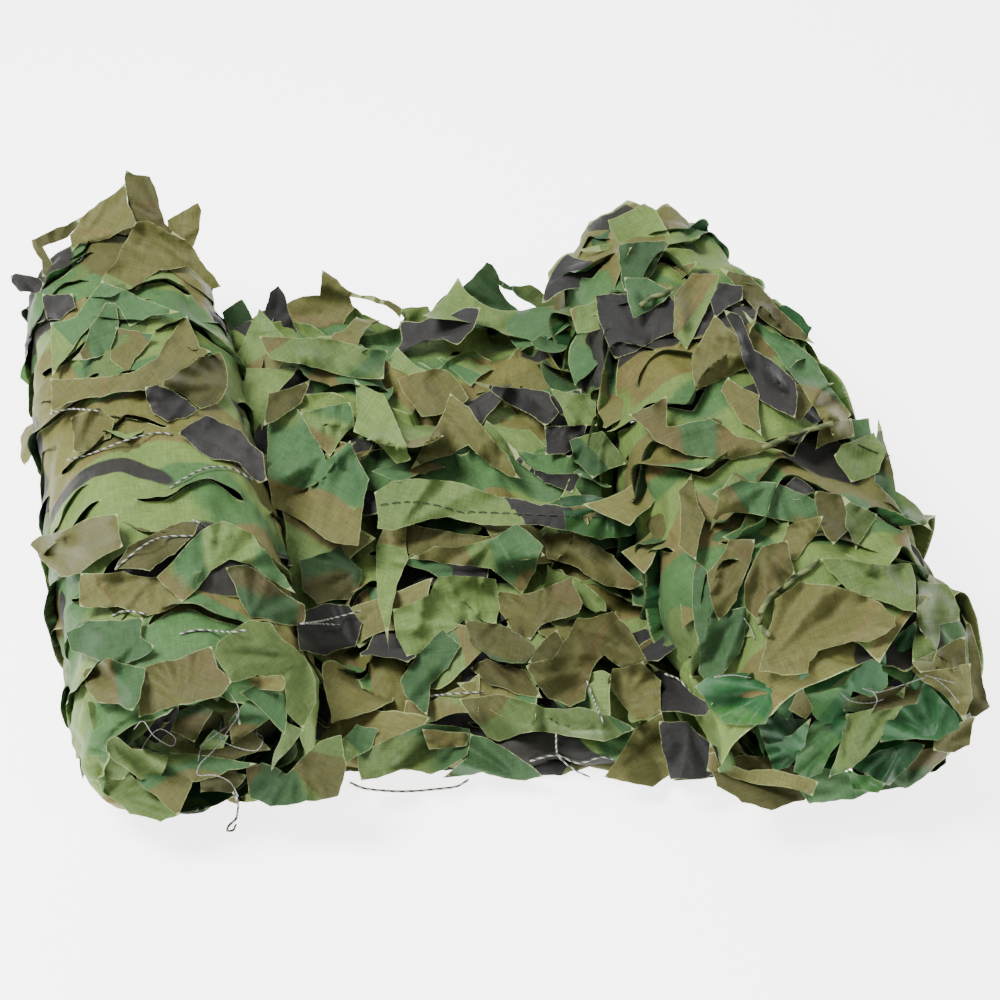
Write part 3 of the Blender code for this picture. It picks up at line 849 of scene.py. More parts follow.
def settle(cut, held, forms, frames, gravity=0.35):
    """Lets the cut cloth fall over the forms, and keeps the shape that it comes to."""
    cloth = cut.piece
    pins = cloth.vertex_groups.new(name="stitched")
    pins.add(list(held), 1.0, "REPLACE")
    for form in forms:
        form.modifiers.new("contact", "COLLISION")
        form.collision.thickness_outer = 0.001
        form.collision.thickness_inner = 0.004
        form.collision.cloth_friction = 20
    sim = cloth.modifiers.new("cloth", "CLOTH")
    rules = sim.settings
    rules.quality = 6
    rules.mass = 0.0000047
    rules.tension_stiffness = rules.compression_stiffness = 12
    rules.shear_stiffness = 4
    rules.bending_stiffness = 0.15
    rules.tension_damping = rules.compression_damping = rules.shear_damping = 8
    rules.bending_damping = 1
    rules.air_damping = 2
    rules.vertex_group_mass = "stitched"
    rules.rest_shape_key = cloth.data.shape_keys.key_blocks["flat"]
    rules.effector_weights.gravity = gravity
    contact = sim.collision_settings
    contact.distance_min = 0.0008
    contact.use_self_collision = False
    sim.point_cache.frame_start = 1
    sim.point_cache.frame_end = frames + 1
    scene.frame_start, scene.frame_end = 1, frames + 1
    for number in range(1, frames + 1):
        scene.frame_set(number)
    seen = cloth.evaluated_get(bpy.context.evaluated_depsgraph_get())
    settled = bpy.data.meshes.new_from_object(seen)
    name = cloth.name
    bpy.data.objects.remove(cloth)
    for form in forms:
        form.modifiers.clear()
    for point in settled.vertices:
        point.co.z = max(point.co.z, ON_FLOOR)
    settled.shade_smooth()
    cut.piece = new_object(name, settled)
    print("settled", name, frames, "frames")


def soften(piece):
    """One subdivision, so that the folds are round."""
    smooth = piece.modifiers.new("round folds", "SUBSURF")
    smooth.levels = smooth.render_levels = 1
    smooth.use_limit_surface = False
    smooth.boundary_smooth = "PRESERVE_CORNERS"


def flat_area(mesh):
    return sum(face.area for face in mesh.polygons)


CREASE_SIZE = 0.030


def crumple(mesh, depth, seed):
    """Presses small sharp creases into a settled cloth."""
    shifts = []
    for point in mesh.vertices:
        at = point.co / CREASE_SIZE + Vector((seed, 0, 0))
        crease = abs(bump_noise(*at)) + 0.5 * abs(bump_noise(*(at * 2.1)))
        shifts.append(point.normal * depth * (0.45 - crease) * 2)
    for point, shift in zip(mesh.vertices, shifts):
        point.co += shift
        point.co.z = max(point.co.z, ON_FLOOR)


# %% Forms to lie on: each roll a little smaller than its cloth
def roll_form(roll, inset, margin=0.0):
    """The roll as a closed form. margin is how far it runs on past each end."""
    rings, around = 41, 60
    shape = bmesh.new()
    loops = []
    for j in range(rings):
        along = -margin + (ROLL_LENGTH + 2 * margin) * j / (rings - 1)
        ring = [roll_point(roll, 2 * math.pi * i / around, along, -inset) for i in range(around)]
        loops.append([shape.verts.new(p) for p in ring])
    for a, b in zip(loops, loops[1:]):
        for i in range(around):
            shape.faces.new((a[i], a[(i + 1) % around], b[(i + 1) % around], b[i]))
    shape.faces.new(loops[0])
    shape.faces.new(loops[-1])
    return new_object(roll.name + "_form", finished_mesh(roll.name + "_form", shape, outwards=True))


ground = new_object("ground_form", floor_mesh.copy())

# %% [markdown]
# ## The outer turn of each roll
# One cloth goes once round each roll, with its two ends tucked under. It is 16 % longer
# than the way round on the left roll and 32 % on the right one, and the twine holds it at
# the bridges between the cuts, so every lip has to stand up. The far lip starts above the
# near one: that is how the leaves lie like shingles, open towards the camera. The right
# roll is wound more loosely, so its cloth has more slack.


# %% Where a point of the outer turn lies
OVERHANG = 0.012  # how far the outer turn reaches past each end of its roll
TUCKED = (-85, 272)  # degrees at which the outer turn starts and ends, under the roll


def wrap(roll, width, length, standing, unevenness):
    start, end = TUCKED

    def place(s, t, side, lobe, key):
        wander = unevenness * 0.8
        angle = math.radians(start + (end - start) * s / width)
        angle += wander / roll.front_half_width * drift(s, t, roll.seed + 9)
        along = -OVERHANG + (ROLL_LENGTH + 2 * OVERHANG) * t / length
        along += wander * drift(s, t, roll.seed + 5)
        height = 0.002 + unevenness * (0.5 + drift(s, t, roll.seed))
        jitter = chance(roll.seed, key, "height")
        front = 1 - smooth_step(-0.01, 0.030, along)
        back = 0.6 * smooth_step(ROLL_LENGTH - 0.02, ROLL_LENGTH + 0.01, along)
        sag = 0.004 + 0.020 * max(0.0, 0.5 + 1.6 * bump_noise(angle * 1.4, roll.seed))
        height -= max(front, back) * sag
        if side > 0:
            height += (0.3 + 0.7 * jitter) * standing * lobe + 0.003
            along -= 0.006 * lobe * jitter
        elif side < 0:
            along += 0.003 * lobe
        return roll_point(roll, angle, along, height)

    return place


def outer_turn(roll, pattern, slack_round, slack_along, standing, unevenness, held_share):
    width = girth(roll) * slack_round * (TUCKED[1] - TUCKED[0]) / 360
    length = (ROLL_LENGTH + 2 * OVERHANG) * slack_along
    place = wrap(roll, width, length, standing, unevenness)
    cut = cut_cloth(roll.name + "_outer", width, length, pattern, place, roll.seed, (roll.seed, 0))
    held = [i for where, i in cut.stitched.items() if chance(roll.seed, where, "held") < held_share]
    form = roll_form(roll, 0.0015)
    settle(cut, held, [form, ground], 16)
    bpy.data.objects.remove(form)
    mesh = cut.piece.data
    mesh.flip_normals()
    crumple(mesh, 0.0022, roll.seed)
    mesh.materials.append(OUTER)
    print(cut.piece.name, "area", round(flat_area(mesh), 3), "flat", round(width * length, 3))
    return cut


SMALL_LEAVES = Pattern(cell=0.108, row=0.056, cut=0.088, tooth=0.011, stray=0.006, ragged=(0.004, 0.014))
LARGE_LEAVES = Pattern(
    cell=0.124, row=0.064, cut=0.104, tooth=0.020, stray=0.009, gap=0.006, ragged=(0.006, 0.016)
)
left_cloth = outer_turn(LEFT, SMALL_LEAVES, 1.16, 0.93, 0.006, 0.005, 1.0)
right_cloth = outer_turn(RIGHT, LARGE_LEAVES, 1.32, 0.97, 0.016, 0.012, 0.85)
left_outer, right_outer = left_cloth.piece, right_cloth.piece

# %% [markdown]
# Under each open cut the next turn shows. It is the same settled cloth, turned round the
# roll, shifted by half a row and drawn in a little. A real roll has the same layers.


# %% The turns under the outer one
def inner_turn(roll, outer, turned, shifted, size, material):
    mesh = outer.data.copy()
    mesh.name = f"{roll.name}_turn_{round(turned)}"
    swing = math.radians(turned)
    start, _, axis, _, _ = roll_section(roll, 0)
    for point in mesh.vertices:
        along = (point.co - start).dot(axis)
        centre, across, _, half_width, half_height = roll_section(roll, along)
        x = (point.co - centre).dot(across) / half_width
        z = (point.co - centre).z / half_height
        x, z = x * math.cos(swing) - z * math.sin(swing), x * math.sin(swing) + z * math.cos(swing)
        moved = min(max(along + shifted, 0.004), ROLL_LENGTH - 0.004)
        centre, across, _, half_width, half_height = roll_section(roll, moved)
        point.co = centre + across * x * half_width * size + Vector((0, 0, z * half_height * size))
        point.co.z = max(point.co.z, 0.0012)
    mesh.materials.clear()
    return new_object(mesh.name, mesh, material)


# The inner turns are drawn in the darkened cloth, as painted shade under the outer turn.
left_inner = inner_turn(LEFT, left_outer, 57, 0.024, 0.950, INNER_IN_PAINTED_SHADE)
right_inner = inner_turn(RIGHT, right_outer, 71, 0.024, 0.945, INNER_IN_PAINTED_SHADE)


def wound_core(roll, inset, material):
    """The closed, dark inside of a roll, a little short of both ends."""
    form = roll_form(roll, inset, -0.030)
    form.name = roll.name + "_core"
    mesh = form.data
    print_at = mesh.uv_layers.new(name="cloth")
    for corner in mesh.loops:
        point = mesh.vertices[corner.vertex_index].co
        print_at.data[corner.index].uv = (point.x + point.z, point.y)
    mesh.attributes.new("cut_edge", "FLOAT", "POINT")
    mesh.materials.append(material)
    mesh.shade_smooth()
    return form


# The cores are drawn in the darkest cloth, as painted shade deep inside each roll.
left_core = wound_core(LEFT, 0.012, CORE_IN_PAINTED_SHADE)
right_core = wound_core(RIGHT, 0.014, CORE_IN_PAINTED_SHADE)

# %% [markdown]
# ## The open stretch between the rolls
# Between the rolls the cloth lies folded in three: a bottom ply, a fold at the front edge,
# a middle ply, a fold at the back edge, and a top ply that ends half way in a stitched hem.
# Each run is one cut cloth with a lot of slack. Only some bridges are held, and at uneven
# heights, so the strips between the cuts tip over each other. The lower run settles first,
# and the upper one then settles on it.

# %% Where the open stretch lies
TUCK = 0.014  # how far the cloth runs in under each roll
LOWER_PATH = (
    (-0.100, 0.001), (-0.216, 0.001), (-0.2225, 0.005), (-0.2205, 0.011),
    (-0.208, 0.014), (-0.05, 0.015), (0.17, 0.016), (0.215, 0.004),
)  # y, z
UPPER_PATH = (
    (0.205, 0.006), (0.222, 0.007), (0.226, 0.012), (0.218, 0.020),
    (0.17, 0.032), (0.06, 0.038), (-0.016, 0.036),
)
CRESTS = ((-0.150, 0.016, 0.020), (0.105, 0.014, 0.020))  # x, height, reach


def flank_x(roll, y):
    """Where the roll's inner side lies at y."""
    along = (y - roll.front[1]) / math.cos(math.radians(roll.heading))
    centre, across, _, half_width, _ = roll_section(roll, along)
    return (centre + across * half_width * roll.inner).x


def path_length(path):
    return sum(math.dist(a, b) for a, b in zip(path, path[1:]))


def on_path(path, run):
    """The (y, z) point at a run along a polyline."""
    for a, b in zip(path, path[1:]):
        step = math.dist(a, b)
        if run <= step or b is path[-1]:
            share = min(1.0, run / step)
            return a[0] + (b[0] - a[0]) * share, a[1] + (b[1] - a[1]) * share
        run -= step
    return path[-1]


def crest_height(x, y):
    """How far the back edge is lifted at its peaks."""
    lift = sum(height * math.exp(-(((x - at) / reach) ** 2)) for at, height, reach in CRESTS)
    return lift * smooth_step(0.14, 0.215, y)


STANDING = 0.016  # how high a lip can stand over the cloth
UNEVEN = 0.014


def lie_between(path, width, length, seed, lifted):
    total = path_length(path)

    def place(s, t, side, lobe, key):
        y, z = on_path(path, total * t / length)
        y += UNEVEN * 0.7 * drift(s, t, seed + 3)
        left, right = flank_x(LEFT, y) - TUCK, flank_x(RIGHT, y) + TUCK
        x = left + (right - left) * s / width + UNEVEN * 0.7 * drift(s, t, seed + 7)
        free = smooth_step(0.004, 0.014, z)
        z += UNEVEN * free * (0.35 + 1.1 * bump_noise(s / 0.045, t / 0.045, seed))
        z += lifted * crest_height(x, y) * smooth_step(0.03, 0.04, z)
        jitter = chance(seed, key, "height")
        if side > 0:
            z += free * ((0.2 + 0.8 * jitter) * STANDING * lobe + 0.003)
            y -= 0.006 * lobe * jitter
        elif side < 0:
            y += 0.004 * lobe
        return Vector((x, y, max(z, LOWEST)))

    return place


def stretch_run(name, path, seed, lifted, form):
    width = (flank_x(RIGHT, 0) - flank_x(LEFT, 0) + 2 * TUCK) * 1.36
    length = path_length(path) * 1.06
    place = lie_between(path, width, length, seed, lifted)
    cut = cut_cloth(name, width, length, STREWN, place, seed, (seed + 0.35, 3.3))
    flat = cut.piece.data.shape_keys.key_blocks["flat"].data
    held = {i for where, i in cut.stitched.items() if chance(seed, where, "held") < 0.66}
    held |= {i for i, spot in enumerate(flat) if min(spot.co.x, width - spot.co.x) < 0.002}
    held |= {i for i, spot in enumerate(flat) if spot.co.y < 0.002 and i % 3 == 0}
    settle(cut, held, [form], 24, gravity=0.5)
    cut.piece.data.materials.append(OUTER)
    print(name, "area", round(flat_area(cut.piece.data), 3), "flat", round(width * length, 3))
    return cut


STREWN = Pattern(cell=0.100, row=0.055, cut=0.084, tooth=0.018, stray=0.007, gap=0.0062)
lower_cloth = stretch_run("stretch_lower", LOWER_PATH, 21, 0.0, ground)
upper_cloth = stretch_run("stretch_upper", UPPER_PATH, 37, 1.0, lower_cloth.piece)
stretch_lower, stretch_upper = lower_cloth.piece, upper_cloth.piece
stretch_upper.data.flip_normals()
crumple(stretch_lower.data, 0.003, 1)
crumple(stretch_upper.data, 0.003, 2)


def under_ply(source, name, material):
    """The bottom ply: the settled run again, turned left to right and pressed flat."""
    mesh = source.data.copy()
    for point in mesh.vertices:
        y = point.co.y
        point.co.x = flank_x(LEFT, y) + flank_x(RIGHT, y) - point.co.x
        point.co.z = LOWEST + max(0.0, point.co.z - 0.001) * 0.35
    mesh.flip_normals()
    mesh.materials.clear()
    return new_object(name, mesh, material)


# The bottom ply is drawn in the darkened cloth, as painted shade under the plies above it.
stretch_bottom = under_ply(stretch_lower, "stretch_bottom", INNER_IN_PAINTED_SHADE)

# %% [markdown]
# ## The wound turns at the ends
# At both ends of a roll the turns show as a spiral of wavy edges. One ribbon of cut cloth
# runs inwards round the axis. Its deep edge is held and its outer edge has slack, so it
# crumples like the loose leaves in the mouth of the real roll.


# %% A spiral ribbon in each mouth
RIBBON = Pattern(
    cell=0.090, row=0.042, cut=0.066, tooth=0.012, stray=0.005, gap=0.0062, ragged=(0.0, 0.016)
)


def end_turns(roll, name, at_front, turns, deep, proud, seed, material):
    start_share, end_share = 0.90, 0.16
    mean = (start_share + end_share) / 2
    around = girth(roll, 0 if at_front else ROLL_LENGTH) * mean * turns
    width, length = around * 1.28, (deep + proud) * 1.25
    outwards = -1 if at_front else 1
    mouth = 0.0 if at_front else ROLL_LENGTH

    def place(s, t, side, lobe, key):
        share, depth = s / width, t / length
        angle = 2 * math.pi * turns * share + seed
        wave = 0.10 * bump_noise(s / 0.04, depth, seed) * (0.3 + depth)
        radius = start_share + (end_share - start_share) * share + wave
        along = mouth + outwards * (-deep + (deep + proud) * depth)
        flutter = 0.010 * depth * bump_noise(s / 0.035, 0, seed + 4)
        along += outwards * flutter - outwards * 0.03 * share * depth
        radius += 0.05 * side * lobe
        return roll_point(roll, angle, along, 0.0, share=max(0.08, min(radius, 0.96)), lowest=0.0014)

    cut = cut_cloth(name, width, length, RIBBON, place, seed, (seed, 5))
    flat = cut.piece.data.shape_keys.key_blocks["flat"].data
    held = {i for i, spot in enumerate(flat) if spot.co.y < 0.004}
    held |= {i for where, i in cut.stitched.items() if chance(seed, where, "held") < 0.5}
    settle(cut, held, [ground], 24, gravity=0.3)
    cut.piece.data.materials.append(material)
    return cut


# The mouths and tails are drawn in the darkened cloth as painted shade inside the rolls; the right mouth is
# the shiny reverse.
left_mouth = end_turns(LEFT, "left_mouth", True, 2.6, 0.075, 0.004, 4, INNER_IN_PAINTED_SHADE)
right_mouth = end_turns(RIGHT, "right_mouth", True, 3.0, 0.080, 0.006, 6, EMERALD)
left_tail = end_turns(LEFT, "left_tail", False, 2.4, 0.055, 0.004, 8, INNER_IN_PAINTED_SHADE)
right_tail = end_turns(RIGHT, "right_tail", False, 2.4, 0.055, 0.004, 9, INNER_IN_PAINTED_SHADE)

# %% [markdown]
# ## Loose leaves
# Where the real cuts run close together, long tongues of cloth come free and tip over
# their neighbours. Three outlines cover nearly all of them: a pointed leaf, a strip with
# hollow sides and square corners, and a plain tongue. Each one starts under the surface,
# rises and curls. They are joined to the cloth that they are cut from.


# %% One loose leaf
def leaf_width(kind, u):
    """Half width of a leaf at u, from 0 at its foot to 1 at its tip, as a share of its width."""
    if kind == "pointed":
        belly = 0.40 * min(1.0, 2.4 * u + 0.35) * (1 - smooth_step(0.35, 1.0, u)) ** 0.75
        return 0.10 + belly - 0.09 * smooth_step(0.8, 1, u)
    if kind == "hollow":
        return 0.30 + 0.20 * abs(2 * u - 0.9) ** 1.7
    return 0.44 - 0.10 * math.sin(math.pi * u) - 0.10 * smooth_step(0.85, 1, u)


STREWN_CLOTHS = ("mixed", "pale", "brown", "dark", "pine", "mixed", "pine", "pale")


def add_loose_leaf(shape, root, forward, up, kind, length, width, lift, curl, tilt, seed, origin):
    """Adds one leaf to a bmesh. lift, curl and tilt are degrees; curl is over the whole leaf."""
    across_steps, along_steps = 8, 16
    forward = (forward - up * forward.dot(up)).normalized()
    side = up.cross(forward)
    side = (side * math.cos(math.radians(tilt)) + up * math.sin(math.radians(tilt))).normalized()
    up = forward.cross(side).normalized()
    bend = (chance(seed, "bend") - 0.5) * 50
    camber = (chance(seed, "camber") - 0.4) * 0.5
    skew = (chance(seed, "skew") - 0.5) * 0.5
    crease = 0.2 + 0.6 * chance(seed, "crease place")
    fold = math.radians((chance(seed, "crease") - 0.35) * 60)
    prints = shape.loops.layers.uv["cloth"]
    rim = shape.verts.layers.float["cut_edge"]
    centre, rows, at = Vector(root), [], []
    cloth = SLOT_OF[STREWN_CLOTHS[int(8 * chance(seed, "cloth"))]]
    for j in range(along_steps + 1):
        u = j / along_steps
        slope = math.radians(lift + curl * u) + (fold if u > crease else 0.0)
        heading = math.radians(bend) * u
        ahead = forward * math.cos(heading) + side * math.sin(heading)
        if j:
            centre = centre + (ahead * math.cos(slope) + up * math.sin(slope)) * length / along_steps
        row, flat_row = [], []
        beside = side * math.cos(heading) - forward * math.sin(heading)
        normal = up * math.cos(slope) - ahead * math.sin(slope)
        for i in range(across_steps + 1):
            v = 2 * i / across_steps - 1
            half = leaf_width(kind, min(1.0, max(0.0, u + skew * 0.12 * v))) * width
            half *= 1 + 0.10 * bump_noise(u * 3, i * 0.1, chance(seed, "noise") * 9)
            point = centre + beside * v * half + normal * camber * half * (v * v - 0.3)
            point += ahead * skew * v * half * smooth_step(0.5, 1, u)
            creases = abs(bump_noise(*(point / 0.024))) + 0.5 * abs(bump_noise(*(point / 0.011)))
            point += normal * 0.0050 * creases
            vert = shape.verts.new((point.x, point.y, max(point.z, LOWEST)))
            vert[rim] = 1.0 if abs(v) == 1 or j in (0, along_steps) else 0.0
            row.append(vert)
            flat_row.append((origin[0] + v * half, origin[1] + u * length))
        rows.append(row)
        at.append(flat_row)
    for j in range(along_steps):
        for i in range(across_steps):
            corners = ((j, i), (j + 1, i), (j + 1, i + 1), (j, i + 1))
            face = shape.faces.new([rows[a][b] for a, b in corners])
            face.smooth = True
            face.material_index = cloth
            for loop, (a, b) in zip(face.loops, corners):
                loop[prints].uv = at[a][b]


def join_leaves(piece, leaves):
    """Adds loose leaves to a cloth. leaves holds the arguments of add_loose_leaf."""
    shape = bmesh.new()
    shape.from_mesh(piece.data)
    before = flat_area(piece.data)
    for material in list(LEAF_CLOTHS.values())[1:]:
        piece.data.materials.append(material)
    for leaf in leaves:
        add_loose_leaf(shape, *leaf)
    shape.to_mesh(piece.data)
    shape.free()
    print(piece.name, len(leaves), "loose leaves,", round(flat_area(piece.data) - before, 3), "m2 more")


# %% Leaves on a roll
KINDS = ("pointed", "hollow", "tongue", "pointed", "hollow")
GOLDEN = 0.618  # steps of this share spread points evenly


def on_roll(roll, place, heading, *look):
    """A leaf at (distance along the axis, angle round it in degrees). look ends with its seed."""
    along, degrees = place
    angle = math.radians(degrees)
    _, across, axis, _, _ = roll_section(roll, along)
    root = roll_point(roll, angle, along, -0.004)
    step = 0.02
    round_it = (roll_point(roll, angle + step, along) - roll_point(roll, angle - step, along)).normalized()
    up = round_it.cross(axis)
    outwards = across * math.cos(angle) + Vector((0, 0, math.sin(angle)))
    if up.dot(outwards) < 0:
        up = -up
    turn = math.radians(heading)
    forward = axis * math.cos(turn) + up.cross(axis) * math.sin(turn)
    return root, forward, up, *look, (chance(look[-1], "s") * 3, chance(look[-1], "t") * 3)


def strew_roll(roll, count, headings, lengths, lifts, curls, seed):
    """Leaves strewn over the upper half of a roll, spread evenly by their number."""
    found = []
    for i in range(count):
        name = (roll.name, seed, i)
        along = (i + 0.5 + (chance(name, 1) - 0.5) * 0.9) / count * (ROLL_LENGTH - 0.03) + 0.015
        degrees = 15 + 150 * ((i * GOLDEN + 0.2 * chance(name, 2)) % 1)
        kind = KINDS[int(chance(name, 7) * len(KINDS))]
        length = between(lengths, name, 3)
        width = length * (0.55 + 0.35 * chance(name, 8))
        tilt = (chance(name, 9) - 0.5) * 36
        look = kind, length, width, between(lifts, name, 5), between(curls, name, 6), tilt, f"{name}"
        found.append(on_roll(roll, (along, degrees), between(headings, name, 4), *look))
    return found


LEFT_TIPS = (
    ((0.340, 158), 110, "tongue", 0.048, 0.048, 14, -26, 0),
    ((0.240, 160), 125, "hollow", 0.036, 0.032, 6, -50, 0),
    ((0.130, 156), 82, "pointed", 0.036, 0.034, 6, -50, 0),
    ((0.060, 168), 140, "hollow", 0.054, 0.046, 18, -20, 0),
)
RIGHT_TIPS = (
    ((0.430, 122), 62, "hollow", 0.066, 0.054, 10, -8, 0),
    ((0.425, 66), -20, "pointed", 0.044, 0.040, 6, -30, 0),
    ((0.430, 92), 8, "tongue", 0.062, 0.060, 10, 6, 0),
    ((0.385, 142), 108, "pointed", 0.058, 0.054, 14, -20, 0),
    ((0.330, 36), -60, "pointed", 0.046, 0.044, 8, -34, 0),
    ((0.215, 28), -150, "hollow", 0.046, 0.042, 8, -32, 0),
    ((0.120, 16), -160, "pointed", 0.044, 0.042, 8, -30, 0),
    ((0.055, 5), -170, "tongue", 0.044, 0.042, 8, -30, 0),
)
left_leaves = [on_roll(LEFT, *tip, f"left tip {i}") for i, tip in enumerate(LEFT_TIPS)]
left_leaves += strew_roll(LEFT, 8, (150, 215), (0.040, 0.058), (5, 12), (-24, -8), 1)
right_leaves = [on_roll(RIGHT, *tip, f"right tip {i}") for i, tip in enumerate(RIGHT_TIPS)]
strewn = strew_roll(RIGHT, 34, (110, 250), (0.045, 0.075), (5, 18), (-40, -12), 2)
right_leaves += strewn[:8] + strewn[9:]  # the ninth would stand out past the roll
join_leaves(left_outer, left_leaves)
join_leaves(right_outer, right_leaves)


# %% Leaves on the open stretch
def strew_stretch(count, low_y, high_y, height, seed):
    found = []
    for i in range(count):
        name = ("stretch", seed, i)
        y = low_y + (high_y - low_y) * (i + 0.5 + (chance(name, 1) - 0.5)) / count
        left, right = flank_x(LEFT, y) + 0.012, flank_x(RIGHT, y) - 0.012
        x = left + (right - left) * ((i * GOLDEN + 0.3 * chance(name, 2)) % 1)
        turn = 2 * math.pi * chance(name, 4)
        forward = Vector((math.cos(turn), math.sin(turn), 0))
        length = 0.045 + 0.040 * chance(name, 3)
        kind = KINDS[int(chance(name, 7) * len(KINDS))]
        width = length * (0.5 + 0.4 * chance(name, 8))
        lift, curl = 4 + 34 * chance(name, 5), -50 + 50 * chance(name, 6)
        tilt = (chance(name, 9) - 0.5) * 44
        root = Vector((x, y, height)) - forward * length * 0.3
        look = kind, length, width, lift, curl, tilt, f"{name}"
        found.append((root, forward, Vector((0, 0, 1)), *look, (chance(name, 10) * 3, chance(name, 11) * 3)))
    return found


join_leaves(stretch_lower, strew_stretch(34, -0.205, -0.01, 0.019, 1))
join_leaves(stretch_upper, strew_stretch(30, 0.0, 0.205, 0.042, 2))

# %% [markdown]
# ## Single leaves that can be told apart
# Some leaves are large enough in the photograph to know one by one: the two peaks at the
# back edge, the brown leaf and the pale flap on the right roll, and the leaves that hang
# over the mouths. Their corners are read off the photograph. Where there is cloth under a
# leaf in that view it is laid on the cloth, and where it stands free it hangs in a slanting
# plane. A leaf is filled with small triangles and then bent a little, as no leaf is flat.


# %% A leaf drawn in the camera's view
METRES_PER_POINT = 0.00072  # size of one point of the 1000 pixel wide picture, on the object
HIGHEST = 0.1550  # no leaf tip stands higher than this over the floor
LEAF_STEP = 3.4  # picture points between two points of a leaf's mesh


def sight_line(px, py):
    """Direction from the camera through a picture point; one unit of it is one metre of depth."""
    down = math.radians(LOOK_DOWN)
    forward = Vector((0, math.cos(down), -math.sin(down)))
    upward = Vector((0, math.sin(down), math.cos(down)))
    focus = 1000 * LENS / 36
    return forward + Vector((1, 0, 0)) * (px - 500) / focus - upward * (py - 500) / focus


def inside_loop(x, y, loop):
    crossings = 0
    for (ax, ay), (bx, by) in zip(loop, [*loop[1:], loop[0]]):
        if (ay > y) != (by > y) and x < ax + (y - ay) / (by - ay) * (bx - ax):
            crossings += 1
    return crossings % 2 == 1


def fine_loop(loop, step, seed):
    """The outline in short steps, a little frayed."""
    found = []
    for a, b in zip(loop, [*loop[1:], loop[0]]):
        a, b = Vector(a), Vector(b)
        count = max(1, round((b - a).length / step))
        bow = Vector((b.y - a.y, a.x - b.x)) * (chance(seed, round(a.x), "bow") - 0.5) * 0.12
        for i in range(count):
            share = i / count
            p = a + (b - a) * share + bow * 4 * share * (1 - share)
            shake = Vector([bump_noise(p.x / 9, p.y / 9, seed + other) for other in (0, 50)])
            found.append(p + shake * 1.2)
    return found


def fill_outline(outline, holes, step, seed):
    """(points, triangles, how far each point is from the edge) of an outline with holes."""
    rng = random.Random(seed)
    loops = [fine_loop(outline, step, seed), *(fine_loop(hole, step, seed) for hole in holes)]
    points, lines = [], []
    for loop in loops:
        first, count = len(points), len(loop)
        points.extend(loop)
        lines.extend((first + i, first + (i + 1) % count) for i in range(count))
    shore = plane_tree(points)
    ring = [tuple(p) for p in loops[0]]
    xs, ys = zip(*ring)
    for j in range(int((max(ys) - min(ys)) / step)):
        for i in range(int((max(xs) - min(xs)) / step) + 1):
            p = Vector((min(xs) + (i + 0.5 * (j % 2)) * step, min(ys) + j * step))
            p += scatter(rng, 0.5)
            if inside_loop(p.x, p.y, ring) and shore.find((p.x, p.y, 0))[2] > 0.6 * step:
                points.append(p)
    spots, _, faces, _, _, _ = delaunay_2d_cdt(points, lines, [], 1, 1e-6)
    kept = []
    for corners in faces:
        x, y = (sum(spots[i][k] for i in corners) / len(corners) for k in (0, 1))
        if not any(inside_loop(x, y, hole) for hole in holes):
            kept.append(list(corners))
    return spots, kept, [shore.find((p.x, p.y, 0))[2] for p in spots]


def folds(p, middle, root, seed):
    """How much nearer the camera a point of a leaf lies because of its folds, in metres.

    One fold runs right across the leaf. Smaller pleats spread from the corner that the
    leaf is pulled from.
    """
    angle = math.pi * 2 * chance(seed, "fold way")
    away = (p - middle).dot(Vector((math.cos(angle), math.sin(angle)))) - 20 * (chance(seed, "fold at") - 0.5)
    nearer = max(0.0, away) * METRES_PER_POINT * math.tan(math.radians(16 + 26 * chance(seed, "fold")))
    inwards = (middle - root).normalized()
    for i in range(4):
        turned = 0.42 * (i - 1.5) + 0.3 * (chance(seed, "pleat", i) - 0.5)
        way = Vector((
            inwards.x * math.cos(turned) - inwards.y * math.sin(turned),
            inwards.x * math.sin(turned) + inwards.y * math.cos(turned),
        ))
        along = (p - root).dot(way)
        beside = abs((p - root).x * way.y - (p - root).y * way.x)
        reach = 3 + 0.17 * max(0.0, along)
        slope = math.tan(math.radians(24 + 28 * chance(seed, "pleat slope", i)))
        nearer += max(0.0, reach - beside) * METRES_PER_POINT * slope * smooth_step(-2, 8, along)
    return min(nearer, 0.016) + 0.0018 * abs(bump_noise(p.x / 20, p.y / 20, seed))


def clear_of(depths, highest, faces, margin=0.0012):
    """Brings a leaf's points in front of what lies under them, and spreads that smoothly."""
    beside = [set() for _ in depths]
    for corners in faces:
        for i in corners:
            beside[i].update(corners)
    depths = list(depths)
    for _ in range(10):
        depths = [d if top is None else min(d, top - margin) for d, top in zip(depths, highest)]
        depths = [sum(depths[j] for j in near) / len(near) if near else d for d, near in zip(depths, beside)]
    return [d if top is None else min(d, top - margin * 0.6) for d, top in zip(depths, highest)]


def depths_on_cloth(below, spots, sights, middle):
    """(depth of each point on the mean slope of the cloth below, depth of the cloth itself)."""
    cloth_depths = []
    for sight in sights:
        hits = [tree.ray_cast(EYE, sight)[3] for tree in below]
        hits = [hit / sight.length for hit in hits if hit is not None]
        cloth_depths.append(min(hits) if hits else None)
    known = [(p, depth) for p, depth in zip(spots, cloth_depths) if depth is not None]
    if len(known) < 0.25 * len(spots):
        known = [(p, EYE.z / -sight.z - 0.002) for p, sight in zip(spots, sights)]
    for _ in range(2):
        slope = mean_slope([(p.x - middle.x, p.y - middle.y, depth) for p, depth in known])

        def flat_at(p):
            return slope[0] + slope[1] * (p.x - middle.x) + slope[2] * (p.y - middle.y)

        # an opening or a far surface under the leaf doesn't pull it down
        known = [(p, min(depth, flat_at(p) + 0.004)) for p, depth in known]
    return [flat_at(p) for p in spots], cloth_depths


